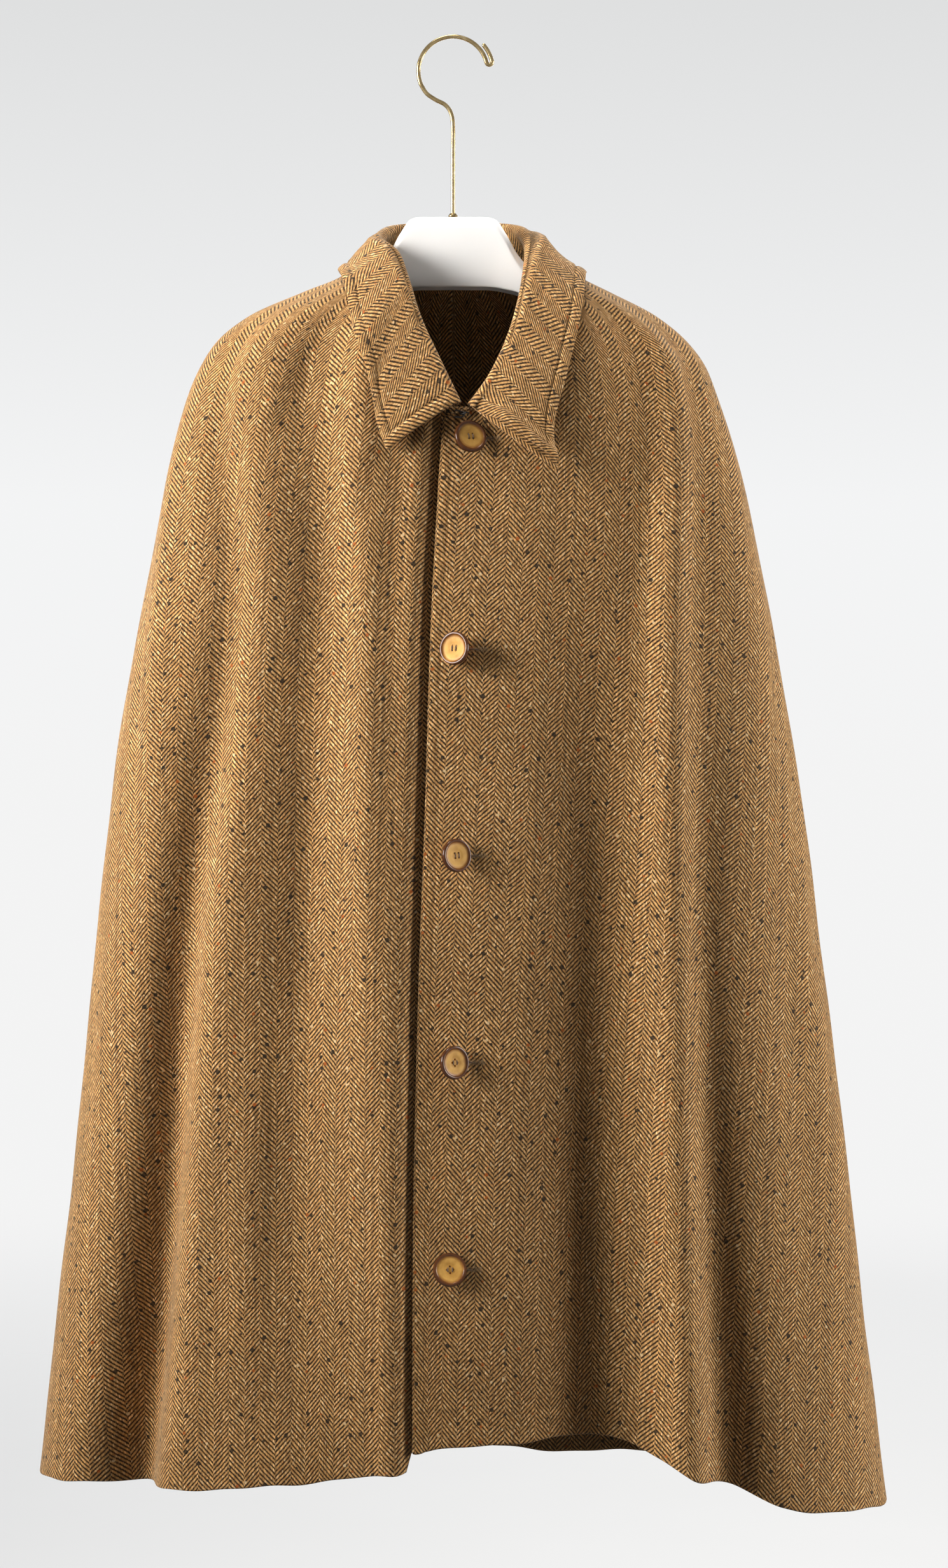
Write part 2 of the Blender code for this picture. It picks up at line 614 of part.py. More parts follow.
# ---------------------------------------------------------------- hanger
def hanger_loop(x, top, height, depth):
    """Upturned channel: round top, two side walls, open below."""
    outer, inner = [], []
    half = depth / 2
    cap = min(half, height * 0.45)
    for deg in np.linspace(180, 0, 9):
        a = math.radians(deg)
        outer.append((x, half * math.cos(a), top - cap + cap * math.sin(a)))
        inner.append((x, (half - HANGER_WALL) * math.cos(a),
                      top - HANGER_WALL - cap + cap * math.sin(a)))
    low = top - height
    outer = [(x, -half, low)] + outer + [(x, half, low)]
    inner = [(x, -half + HANGER_WALL, low)] + inner + [(x, half - HANGER_WALL, low)]
    return outer + inner[::-1]


stations = [(-r[0],) + r[1:] for r in HANGER[:0:-1]] + list(HANGER)
loops = [hanger_loop(*row) for row in stations]
side = len(loops[0])
verts = [p for loop in loops for p in loop]
faces = []
for s in range(len(loops) - 1):
    for k in range(side):
        n = (k + 1) % side
        faces.append((s * side + k, s * side + n, (s + 1) * side + n, (s + 1) * side + k))
half_side = side // 2
for s in (0, len(loops) - 1):
    for k in range(half_side - 1):
        faces.append((s * side + k, s * side + k + 1,
                      s * side + side - 2 - k, s * side + side - 1 - k))
hanger = add_mesh("hanger_body", verts, faces, WHITE)
bore = bmesh.new()
bmesh.ops.create_cone(bore, cap_ends=True, segments=16, radius1=HOOK_WIRE_R + SEAM,
                      radius2=HOOK_WIRE_R + SEAM, depth=0.02,
                      matrix=Matrix.Translation((0, 0, top_z)))
bore_mesh = bpy.data.meshes.new("shank_bore")
bore.to_mesh(bore_mesh)
bore.free()
bore_ob = bpy.data.objects.new("shank_bore", bore_mesh)
bpy.context.scene.collection.objects.link(bore_ob)
bore_ob.hide_render = True
bore_ob.display_type = "WIRE"
cut = hanger.modifiers.new("shank_bore", "BOOLEAN")
cut.operation = "DIFFERENCE"
cut.solver = "EXACT"
cut.object = bore_ob


# ---------------------------------------------------------------- neck hook and eye
NECK_WIRE_R = 0.0007
NECK_AT = (0.0100, -0.3580)      # x, z of the fastening


def on_front(x, z, out):
    span = np.linspace(-0.25, 0.25, 1001)
    pts = cape(span, np.full(span.shape, z))
    k = int(np.argmin(np.abs(pts[:, 0] - x)))
    return pts[k] + np.array([0.0, -1.0, 0.0]) * out


hook_points = [on_front(NECK_AT[0] + dx, NECK_AT[1] + dz, out) for dx, dz, out in (
    (0.0046, 0.0022, 0.0022), (0.0016, 0.0026, 0.0024), (-0.0018, 0.0022, 0.0028),
    (-0.0030, 0.0010, 0.0042), (-0.0014, 0.0006, 0.0056), (0.0014, 0.0012, 0.0056))]
wire("neck_hook", smooth_path(hook_points, 0.0011), NECK_WIRE_R, BLACK)
eye_points = [on_front(NECK_AT[0] + dx, NECK_AT[1] + dz, out) for dx, dz, out in (
    (-0.0075, 0.0042, 0.0042), (-0.0040, 0.0040, 0.0042), (-0.0006, 0.0028, 0.0042),
    (0.0004, 0.0002, 0.0042), (-0.0008, -0.0016, 0.0042), (-0.0044, -0.0020, 0.0042),
    (-0.0075, -0.0016, 0.0042))]
wire("neck_eye", smooth_path(eye_points, 0.0012), NECK_WIRE_R, BLACK)
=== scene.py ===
import json
import math

import bpy
import bmesh
import numpy as np
from mathutils import Matrix, Vector
from mathutils.kdtree import KDTree

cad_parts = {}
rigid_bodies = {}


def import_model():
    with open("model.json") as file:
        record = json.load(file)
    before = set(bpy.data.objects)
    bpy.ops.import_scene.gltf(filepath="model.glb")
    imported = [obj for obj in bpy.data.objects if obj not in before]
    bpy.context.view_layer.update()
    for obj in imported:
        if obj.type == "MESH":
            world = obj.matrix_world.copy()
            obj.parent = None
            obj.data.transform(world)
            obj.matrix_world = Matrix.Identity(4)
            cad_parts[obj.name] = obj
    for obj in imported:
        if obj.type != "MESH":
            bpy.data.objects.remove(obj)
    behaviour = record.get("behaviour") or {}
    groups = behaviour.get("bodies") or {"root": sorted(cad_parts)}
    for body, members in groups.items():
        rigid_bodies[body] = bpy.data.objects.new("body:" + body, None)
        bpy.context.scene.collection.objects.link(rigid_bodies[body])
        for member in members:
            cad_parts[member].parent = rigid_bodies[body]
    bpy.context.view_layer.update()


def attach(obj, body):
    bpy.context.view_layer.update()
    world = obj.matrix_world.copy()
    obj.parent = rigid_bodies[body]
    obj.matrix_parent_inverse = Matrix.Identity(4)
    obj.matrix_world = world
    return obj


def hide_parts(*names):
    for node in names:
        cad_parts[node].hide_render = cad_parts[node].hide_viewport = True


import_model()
RANDOM = np.random.default_rng(41)

# ---------------------------------------------------------------- sizes
WALL = 0.0020            # one layer of cloth
EDGE_WALL = 0.0036       # the turned-in front edge, two layers and a facing
SIDE_SEAM = 1.06
LAP = 0.058
TUCK = 0.0075
LAP_BULGE = 0.0042
SEAM = 0.0003

STITCH_IN = 0.0092       # topstitching, in from the front edge
STITCH_IN_COLLAR = 0.0105
STITCH_DEPTH = 0.0003
MARGIN_PUFF = 0.0005

BUTTON_R = 0.0150
BUTTON_T = 0.0046
BUTTON_RIM = 0.0032
BUTTON_DISH = 0.0012
BUTTON_HOLE_R = 0.0011
BUTTON_HOLE_PITCH = 0.0040

COLLAR_ROLL_R = 0.0042
COLLAR_CLEAR = 0.0056
COLLAR_CROWN = 0.0045
COLLAR_RISE = 0.0014

HOOK_WIRE_R = 0.0020
HOOK_R = 0.0320
HOOK_RETURN = 0.0052
HANGER_WALL = 0.0030

YARN = 0.00107           # pitch of the yarns
ENDS = 14                # yarns in one herringbone column
TWEED_GAIN = (0.83, 0.775, 0.69)

# Rings of the cape, as in the solids.
SECTIONS = (
    # z,      left,   right,  front,  back,   power
    (-0.180, 0.0660, 0.0740, 0.0400, 0.0580, 2.00),
    (-0.205, 0.0840, 0.0940, 0.0470, 0.0650, 2.00),
    (-0.222, 0.1060, 0.1190, 0.0540, 0.0720, 2.05),
    (-0.235, 0.1380, 0.1450, 0.0590, 0.0770, 2.10),
    (-0.258, 0.1890, 0.1890, 0.0680, 0.0840, 2.20),
    (-0.282, 0.2180, 0.2180, 0.0760, 0.0890, 2.25),
    (-0.305, 0.2320, 0.2350, 0.0820, 0.0930, 2.30),
    (-0.329, 0.2420, 0.2450, 0.0870, 0.0960, 2.30),
    (-0.376, 0.2555, 0.2610, 0.0940, 0.1000, 2.35),
    (-0.494, 0.2810, 0.2890, 0.1040, 0.1070, 2.35),
    (-0.635, 0.3065, 0.3125, 0.1140, 0.1150, 2.30),
    (-0.776, 0.3240, 0.3325, 0.1220, 0.1220, 2.30),
    (-0.917, 0.3380, 0.3505, 0.1300, 0.1280, 2.25),
    (-1.059, 0.3520, 0.3655, 0.1380, 0.1350, 2.20),
    (-1.200, 0.3665, 0.3810, 0.1460, 0.1420, 2.20),
    (-1.360, 0.3860, 0.4020, 0.1540, 0.1500, 2.20),
)
# Each fold: its half width round the body, then its place and how far it
# stands out (or in) at the shoulder, chest, waist and hem levels.
FOLD_LEVELS = (-0.30, -0.55, -0.85, -1.33)
FOLD_TOP = -0.23
FOLDS = (
    # name,        width, shoulder,      chest,         waist,         hem
    ("left_out",    0.060, -0.99,  0.002, -0.81,  0.006, -0.75,  0.001, -0.75, -0.005),
    ("left_gully", 0.068, -0.81,-0.005, -0.60,-0.011, -0.645,-0.026, -0.685,-0.050),
    ("left_crest", 0.060, -0.67,0.002, -0.54,0.003, -0.585,0.007, -0.59,0.003),
    ("chest_dip",   0.088, -0.47, -0.007, -0.35, -0.010, -0.35, -0.010, -0.31,  0.000),
    ("lap_roll",    0.061, -0.30,  0.006, -0.23,  0.008, -0.18,  0.012, -0.13,  0.005),
    ("right_dip", 0.120, 0.42,0.001, 0.37,-0.006, 0.34,-0.025, 0.30,-0.045),
    ("right_crest", 0.052,  0.73,  0.011,  0.57,  0.016,  0.51,  0.016,  0.47,  0.020),
    ("right_gully", 0.070, 0.99,0, 0.70,0, 0.56,-0.009, 0.555,-0.026),
    ("right_side",  0.076,  0.99, -0.001,  0.93, -0.004,  0.82, -0.006,  0.75,  0.000),
    ("back_r_dip",  0.088,  1.36,  0.000,  1.33, -0.016,  1.31, -0.022,  1.30, -0.030),
    ("back_r_roll", 0.088,  1.55,  0.001,  1.52,  0.013,  1.51,  0.017,  1.50,  0.023),
    ("back_mid",    0.095,  1.84,  0.000,  1.82, -0.008,  1.81, -0.014,  1.80, -0.023),
    ("back_l_dip",  0.082, -1.33,  0.000, -1.30, -0.017, -1.28, -0.023, -1.28, -0.032),
    ("back_l_roll", 0.092, -1.52,  0.001, -1.49,  0.014, -1.48,  0.017, -1.47,  0.022),
    ("back_l_dip2", 0.082, -1.76,  0.000, -1.74, -0.005, -1.73, -0.012, -1.72, -0.020),
)
# Smaller creases: a line on the cloth from one point to
# another, its half width and how far it stands out (or in).
CREASES = (
    # place_a, z_a,   place_b, z_b,    width,  out
    (-0.520, -0.285, -0.470, -0.350, 0.0090, -0.0022),
    (-0.440, -0.275, -0.420, -0.345, 0.0080, -0.0018),
    (-0.600, -0.300, -0.560, -0.380, 0.0100,  0.0018),
    (-0.240, -0.380, -0.250, -0.470, 0.0120, -0.0030),
    (0.300, -0.400,  0.450, -0.360, 0.0100, -0.0015),
    (0.120, -0.420,  0.300, -0.480, 0.0130,  0.0012),
    (0.150, -0.640,  0.200, -0.900, 0.0160,  0.0016),
    (-0.350, -0.620, -0.330, -0.950, 0.0150, -0.0020),
    (-0.450, -0.900, -0.440, -1.250, 0.0180,  0.0022),
    (-0.900, -0.700, -0.920, -1.100, 0.0200, -0.0030),
    (0.940, -0.600,  0.930, -1.050, 0.0190, -0.0028),
    (0.360, -0.950,  0.380, -1.240, 0.0140,  0.0018),
    (1.180, -0.500,  1.160, -0.900, 0.0180, -0.0026),
    (1.680, -0.400,  1.660, -0.760, 0.0170,  0.0024),
    (-1.180, -0.520, -1.170, -0.940, 0.0180, -0.0026),
    (-1.640, -0.420, -1.620, -0.800, 0.0170,  0.0022),
    (-1.880, -0.700, -1.870, -1.120, 0.0190, -0.0024),
    (1.440, -0.800,  1.420, -1.200, 0.0180,  0.0026),
)
# Slow unevenness of the hang: waves along and across, with their lean.
UNEVEN = (
    # across per place, down per m, phase, height
    (9.0, 5.0, 0.4, 0.0008),
    (14.0, -7.0, 1.9, 0.0006),
    (23.0, 11.0, 3.3, 0.0004),
    (5.0, 16.0, 5.1, 0.0005),
)
NECKLINE = (
    # place, z
    (-2.00, -0.1880), (-1.50, -0.1920), (-1.00, -0.2000), (-0.70, -0.2120),
    (-0.30, -0.2500), (-0.12, -0.3000), (-0.03, -0.3480), (0.06, -0.3520),
    (0.22, -0.3020), (0.40, -0.2500), (0.72, -0.2120), (1.00, -0.2000),
    (1.50, -0.1920), (2.00, -0.1880),
)
LEFT_FRONT_DROP = 0.0130
HEM_RIGHT_FRONT = (
    # place, z
    (-1.20, -1.3260), (-1.00, -1.3230), (-0.85, -1.3200), (-0.70, -1.3200),
    (-0.55, -1.3170), (-0.30, -1.3080), (-0.14, -1.2990), (-0.068, -1.2955),
    (-0.054, -1.2750), (-0.02, -1.2680), (0.20, -1.2620),
)
HEM_LEFT_FRONT = (
    # place, z
    (-0.10, -1.2790), (0.10, -1.2720), (0.26, -1.2695), (0.36, -1.2750),
    (0.42, -1.2900), (0.48, -1.3060), (0.57, -1.3150), (0.66, -1.3370),
    (0.80, -1.3450), (1.00, -1.3485), (1.20, -1.3440),
)
HEM_BACK = (
    # place, z
    (-2.00, -1.3250), (-1.60, -1.3230), (-1.20, -1.3260), (-1.00, -1.3230),
)
HEM_BACK_R = (
    # place, z
    (1.00, -1.3485), (1.20, -1.3440), (1.60, -1.3320), (2.00, -1.3250),
)
LAP_EDGE = (
    # z,     x
    (-1.360, -0.0350), (-1.100, -0.0345), (-0.900, -0.0310), (-0.700, -0.0245),
    (-0.550, -0.0200), (-0.430, -0.0135), (-0.340, -0.0070),
)
BUTTONS = (
    # x,       z,      turn_deg, tip_deg
    (0.0154, -0.379,  20.0,  9.0),
    (0.0034, -0.569, -32.0,  0.0),
    (0.0029, -0.753,  36.0,  2.0),
    (0.0006, -0.936,  36.0,  0.0),
    (-0.0023, -1.118,  7.0, 11.0),
)
COLLAR = (
    # along, neck,   roll_x,  roll_y,  roll_z,   edge_x,  edge_y,  edge_z
    (-1.00, -0.035,  0.0060, -0.0990, -0.3470, -0.0580, -0.1050, -0.3890),
    (-0.88, -0.110, -0.0100, -0.0890, -0.3130, -0.0655, -0.1020, -0.3690),
    (-0.72, -0.260, -0.0320, -0.0640, -0.2620, -0.0760, -0.0900, -0.3200),
    (-0.58, -0.520, -0.0420, -0.0390, -0.2270, -0.0890, -0.0620, -0.2670),
    (-0.48, -0.740, -0.0500, -0.0265, -0.2040, -0.0965, -0.0330, -0.2350),
    (-0.38, -0.960, -0.0655,  0.0010, -0.1850, -0.1010,  0.0060, -0.2200),
    (-0.27, -1.270, -0.0570,  0.0330, -0.1700, -0.0930,  0.0460, -0.2220),
    (-0.14, -1.650, -0.0270,  0.0530, -0.1640, -0.0550,  0.0850, -0.2330),
    (0.00,  -2.000,  0.0070,  0.0600, -0.1630,  0.0070,  0.0960, -0.2360),
    (0.14,  -2.350,  0.0400,  0.0540, -0.1640,  0.0680,  0.0860, -0.2330),
    (0.28,  -2.750,  0.0610,  0.0310, -0.1710,  0.1100,  0.0440, -0.2220),
    (0.44,  -3.180,  0.0680, -0.0070, -0.1960,  0.1190, -0.0180, -0.2240),
    (0.58,  -3.460,  0.0645, -0.0360, -0.2300,  0.1130, -0.0620, -0.2720),
    (0.72,  -3.680,  0.0560, -0.0640, -0.2700,  0.1030, -0.0880, -0.3160),
    (0.88,  -3.840,  0.0360, -0.0890, -0.3190,  0.0900, -0.1040, -0.3740),
    (1.00,  -3.945,  0.0165, -0.1000, -0.3490,  0.0935, -0.1100, -0.4100),
)
HANGER = (
    # x,     top_z,   height, depth
    (0.0000, -0.1650, 0.0660, 0.0240),
    (0.0300, -0.1650, 0.0662, 0.0240),
    (0.0385, -0.1668, 0.0650, 0.0242),
    (0.0480, -0.1790, 0.0545, 0.0250),
    (0.0600, -0.2000, 0.0365, 0.0260),
    (0.0720, -0.2130, 0.0285, 0.0270),
    (0.1000, -0.2270, 0.0285, 0.0300),
    (0.1400, -0.2440, 0.0310, 0.0340),
    (0.1750, -0.2610, 0.0320, 0.0340),
    (0.1930, -0.2720, 0.0290, 0.0300),
    (0.2000, -0.2790, 0.0210, 0.0240),
)
HOOK_TAIL = (
    # x,       z
    (-0.0240, -0.0510), (-0.0160, -0.0565), (-0.0075, -0.0610),
    (-0.0022, -0.0680), (0.0000, -0.0800), (0.0000, -0.1100),
    (0.0000, -0.1450), (0.0000, -0.1740),
)


# ---------------------------------------------------------------- form helpers
def through(x, xs, ys):
    """Smooth curve through the table's points without overshoot."""
    xs = np.asarray(xs, float)
    ys = np.asarray(ys, float)
    order = np.argsort(xs)
    xs, ys = xs[order], ys[order]
    h = np.diff(xs)
    d = np.diff(ys) / h
    m = np.zeros_like(ys)
    m[0], m[-1] = d[0], d[-1]
    for i in range(1, len(xs) - 1):
        if d[i - 1] * d[i] > 0:
            w1 = 2 * h[i] + h[i - 1]
            w2 = h[i] + 2 * h[i - 1]
            m[i] = (w1 + w2) / (w1 / d[i - 1] + w2 / d[i])
    x = np.clip(np.asarray(x, float), xs[0], xs[-1])
    i = np.clip(np.searchsorted(xs, x) - 1, 0, len(xs) - 2)
    t = (x - xs[i]) / h[i]
    return ((2 * t**3 - 3 * t**2 + 1) * ys[i] + (t**3 - 2 * t**2 + t) * h[i] * m[i]
            + (-2 * t**3 + 3 * t**2) * ys[i + 1] + (t**3 - t**2) * h[i] * m[i + 1])


def column(table, key, value):
    def read(x):
        return through(x, [r[key] for r in table], [r[value] for r in table])
    return read


def ease(t):
    t = np.clip(t, 0.0, 1.0)
    return t * t * (3 - 2 * t)


def unit(v):
    return v / np.maximum(np.linalg.norm(v, axis=-1, keepdims=True), 1e-12)


half_left, half_right, depth_front, depth_back, oval_power = (
    column(SECTIONS, 0, k) for k in range(1, 6))
neck_level = column(NECKLINE, 0, 1)
lap_edge_x = column(LAP_EDGE, 0, 1)
ARC = np.linspace(0.0, 1.0, 65)
ARC_ANGLE = (3 * ARC**2 - 2 * ARC**3) * math.pi / 2


def ring(place, z):
    """Point and flat normal of the plain oval at a place round the body."""
    place = (np.asarray(place, float) + 2.0) % 4.0 - 2.0
    z = np.broadcast_to(np.asarray(z, float), place.shape)
    a = np.where(place < 0, half_left(z), half_right(z))
    front = np.abs(place) <= 1.0
    b = np.where(front, depth_front(z), depth_back(z))
    n = oval_power(z)
    share = np.where(front, np.abs(place), 2.0 - np.abs(place))
    e = (2.0 / n)[..., None]
    xs = a[..., None] * np.sin(ARC_ANGLE) ** e
    ys = b[..., None] * np.clip(np.cos(ARC_ANGLE), 0, 1) ** e
    run = np.concatenate([np.zeros(xs.shape[:-1] + (1,)),
                          np.cumsum(np.hypot(np.diff(xs), np.diff(ys)), axis=-1)], axis=-1)
    want = share * run[..., -1]
    i = np.clip((run <= want[..., None]).sum(-1) - 1, 0, len(ARC) - 2)
    r0 = np.take_along_axis(run, i[..., None], -1)[..., 0]
    r1 = np.take_along_axis(run, i[..., None] + 1, -1)[..., 0]
    t = np.where(r1 > r0, (want - r0) / np.maximum(r1 - r0, 1e-12), 0.0)
    ang = ARC_ANGLE[i] + (ARC_ANGLE[i + 1] - ARC_ANGLE[i]) * t
    sx = np.where(place < 0, -1.0, 1.0)
    sy = np.where(front, -1.0, 1.0)
    u = np.sin(ang) ** (2.0 / n)
    v = np.clip(np.cos(ang), 0, 1) ** (2.0 / n)
    x, y = sx * a * u, sy * b * v
    nx = sx * u ** (n - 1) / a
    ny = sy * v ** (n - 1) / b
    size = np.hypot(nx, ny)
    return x, y, nx / size, ny / size, run[..., -1]


QUARTER_Z = np.linspace(-1.40, -0.17, 260)
QUARTERS = [ring(np.full(QUARTER_Z.shape, p), QUARTER_Z)[4] for p in (-0.5, 0.5, -1.5, 1.5)]


def quarter(z, side=0):
    """Length of a quarter round the plain oval: 0 front left as seen, 1 front
    right, 2 back left, 3 back right."""
    return np.interp(z, QUARTER_Z, QUARTERS[side])


def lap_place(z):
    return lap_edge_x(z) / quarter(z)


def small_creases(place, z):
    out = np.zeros(np.shape(place))
    scale = quarter(z, 1)
    for pa, za, pb, zb, width, height in CREASES:
        ax, bx = pa * scale, pb * scale
        dx, dz = bx - ax, zb - za
        length = np.sqrt(dx * dx + dz * dz)
        along = ((place * scale - ax) * dx + (z - za) * dz) / length**2
        aside = ((place * scale - ax) * dz - (z - za) * dx) / length
        fade = ease(along / 0.35) * ease((1 - along) / 0.35)
        out = out + height * fade * np.exp(-(aside / width) ** 2)
    for across, down, phase, height in UNEVEN:
        out = out + height * ease((-0.24 - z) / 0.15) * np.sin(
            across * place + down * z * 2 + phase) * np.sin(0.37 * across * place - 1.3 * down * z + phase)
    return out


def cape(place, z, inset=0.0):
    """Outer face of the cape with its folds and creases."""
    place = np.asarray(place, float)
    z = np.broadcast_to(np.asarray(z, float), place.shape)
    x, y, nx, ny, _ = ring(place, z)
    out = small_creases(place, z)
    for _, width, *run in FOLDS:
        middle = through(z, FOLD_LEVELS, run[0::2])
        height = through(z, (FOLD_TOP,) + FOLD_LEVELS, [0.0] + run[1::2])
        away = (place - middle + 2.0) % 4.0 - 2.0
        out = out + height * np.exp(-(away / width) ** 2)
    out = out - inset
    return np.stack([x + nx * out, y + ny * out, z], axis=-1)


def cape_normal(place, z, inset=lambda p, zz: 0.0):
    dp, dz = 0.004, 0.003
    a = cape(place + dp, z, inset(place + dp, z)) - cape(place - dp, z, inset(place - dp, z))
    b = cape(place, z + dz, inset(place, z + dz)) - cape(place, z - dz, inset(place, z - dz))
    return unit(np.cross(a, b))


# ---------------------------------------------------------------- mesh helpers
def new_object(name, verts, faces, mat, uv=None, uv_name="weave", smooth=True):
    mesh = bpy.data.meshes.new(name)
    mesh.from_pydata(np.asarray(verts, float).tolist(), [], faces)
    if smooth:
        mesh.shade_smooth()
    if uv is not None:
        layer = mesh.uv_layers.new(name=uv_name)
        corner = np.empty(len(mesh.loops), np.int32)
        mesh.loops.foreach_get("vertex_index", corner)
        layer.data.foreach_set("uv", np.asarray(uv, np.float32)[corner].ravel())
    mesh.materials.append(mat)
    ob = bpy.data.objects.new(name, mesh)
    bpy.context.scene.collection.objects.link(ob)
    return ob


def outline(rows, cols):
    """Border of a grid in order, each with its neighbour inside the grid."""
    border, inside = [], []
    def add(r, c):
        border.append(r * cols + c)
        rr = min(max(r, 1), rows - 2)
        cc = min(max(c, 1), cols - 2)
        inside.append(rr * cols + cc)
    for r in range(rows):
        add(r, 0)
    for c in range(1, cols):
        add(rows - 1, c)
    for r in range(rows - 2, -1, -1):
        add(r, cols - 1)
    for c in range(cols - 2, 0, -1):
        add(0, c)
    return np.array(border), np.array(inside)


def shell(name, outer, inner, mat, uv, rim=3):
    """Closed cloth wall between two grids, with rounded edges."""
    rows, cols = outer.shape[:2]
    size = rows * cols
    k = (np.arange(rows - 1)[:, None] * cols + np.arange(cols - 1)[None, :]).ravel()
    front = np.stack([k, k + 1, k + cols + 1, k + cols], -1)
    back = np.stack([k, k + cols, k + cols + 1, k + 1], -1) + size
    o, n = outer.reshape(-1, 3), inner.reshape(-1, 3)
    flat = uv.reshape(-1, 2)
    border, inside = outline(rows, cols)
    count = len(border)
    thick = np.linalg.norm(o[border] - n[border], axis=-1, keepdims=True)
    out = unit((o[border] - o[inside]) + (n[border] - n[inside]))
    up = unit(o[border] - n[border])
    out = unit(out - up * (out * up).sum(-1, keepdims=True))
    mid = (o[border] + n[border]) / 2
    flat_out = unit(flat[border] - flat[inside])
    verts, uvs = [o, n], [flat, flat]
    rings = [border]
    for s in range(1, rim + 1):
        a = math.pi * s / (rim + 1)
        verts.append(mid + thick / 2 * (up * math.cos(a) + out * math.sin(a)))
        uvs.append(flat[border] + flat_out * thick / 2 * a)
        rings.append(2 * size + (s - 1) * count + np.arange(count))
    rings.append(border + size)
    faces = [front, back]
    for lo, hi in zip(rings[:-1], rings[1:]):
        faces.append(np.stack([lo, np.roll(lo, -1), np.roll(hi, -1), hi], -1))
    verts = np.concatenate(verts)
    faces = np.concatenate(faces)
    # the border runs down the first column, so its quads face out as the front does
    if np.cross(o[1] - o[0], o[cols] - o[0]).dot(o[0] - n[0]) < 0:
        faces = faces[:, ::-1]
    return new_object(name, verts, faces.tolist(), mat, np.concatenate(uvs))


def tube(path, radius, sides=12):
    """Vertices and quads of a round tube with domed ends along a path."""
    p = np.asarray(path, float)
    radius = np.broadcast_to(np.asarray(radius, float), (len(p),)).copy()
    t = unit(np.gradient(p, axis=0))
    ref = np.array([0.0, 0.0, 1.0]) if abs(t[0][2]) < 0.9 else np.array([1.0, 0.0, 0.0])
    side = unit(np.cross(t[0], ref))
    rings = []
    ang = np.arange(sides) * 2 * math.pi / sides
    def circle(at, r, a, b):
        return at + r * (np.cos(ang)[:, None] * a + np.sin(ang)[:, None] * b)
    frames = []
    for i in range(len(p)):
        side = unit(side - t[i] * np.dot(side, t[i]))
        frames.append((side, np.cross(t[i], side)))
    dome = (0.87, 0.5)
    for d, w in ((-0.94, 0.34), (-0.62, 0.78)):
        rings.append(circle(p[0] + t[0] * radius[0] * d * 0.9, radius[0] * w, *frames[0]))
    for i in range(len(p)):
        rings.append(circle(p[i], radius[i], *frames[i]))
    for d, w in ((0.62, 0.78), (0.94, 0.34)):
        rings.append(circle(p[-1] + t[-1] * radius[-1] * d * 0.9, radius[-1] * w, *frames[-1]))
    verts = np.concatenate(rings)
    count = len(rings)
    k = np.arange(sides)
    faces = []
    for i in range(count - 1):
        a = i * sides
        for s in range(sides):
            n = (s + 1) % sides
            faces.append((a + s, a + n, a + sides + n, a + sides + s))
    faces.append(tuple(range(sides - 1, -1, -1)))
    faces.append(tuple((count - 1) * sides + k))
    return verts, faces


def joined(parts):
    verts, faces, base = [], [], 0
    for v, f in parts:
        verts.append(np.asarray(v, float))
        faces += [tuple(int(i) + base for i in face) for face in f]
        base += len(v)
    return np.concatenate(verts), faces


def smooth_path(points, step):
    """Evenly spaced points on a smooth curve through the given ones."""
    p = np.asarray(points, float)
    q = np.vstack([2 * p[0] - p[1], p, 2 * p[-1] - p[-2]])
    fine = []
    for i in range(1, len(q) - 2):
        for t in np.linspace(0, 1, 24, endpoint=False):
            fine.append(0.5 * (2 * q[i] + (q[i + 1] - q[i - 1]) * t
                               + (2 * q[i - 1] - 5 * q[i] + 4 * q[i + 1] - q[i + 2]) * t**2
                               + (3 * q[i] - q[i - 1] - 3 * q[i + 1] + q[i + 2]) * t**3))
    fine.append(q[-2])
    fine = np.array(fine)
    run = np.concatenate([[0], np.cumsum(np.linalg.norm(np.diff(fine, axis=0), axis=1))])
    count = max(2, int(round(run[-1] / step)) + 1)
    at = np.linspace(0, run[-1], count)
    return np.stack([np.interp(at, run, fine[:, k]) for k in range(3)], -1)


def turned(profile, segments):
    """Vertices, faces and radius/angle UVs of a solid turned about Z."""
    verts, faces, uv, rings = [], [], [], []
    top = max(r for r, _ in profile)
    for r, h in profile:
        if r < 1e-7:
            rings.append([len(verts)])
            verts.append((0.0, 0.0, h))
            uv.append((0.0, 0.0))
        else:
            rings.append(list(range(len(verts), len(verts) + segments)))
            for s in range(segments):
                a = 2 * math.pi * s / segments
                verts.append((r * math.cos(a), r * math.sin(a), h))
                uv.append((r / top, h / top))
    for p in range(len(profile)):
        lo, hi = rings[p], rings[(p + 1) % len(profile)]
        if len(lo) == 1 and len(hi) == 1:
            continue
        for s in range(segments):
            n = (s + 1) % segments
            if len(lo) == 1:
                faces.append((lo[0], hi[n], hi[s]))
            elif len(hi) == 1:
                faces.append((lo[s], lo[n], hi[0]))
            else:
                faces.append((lo[s], lo[n], hi[n], hi[s]))
    return np.array(verts), faces, np.array(uv)


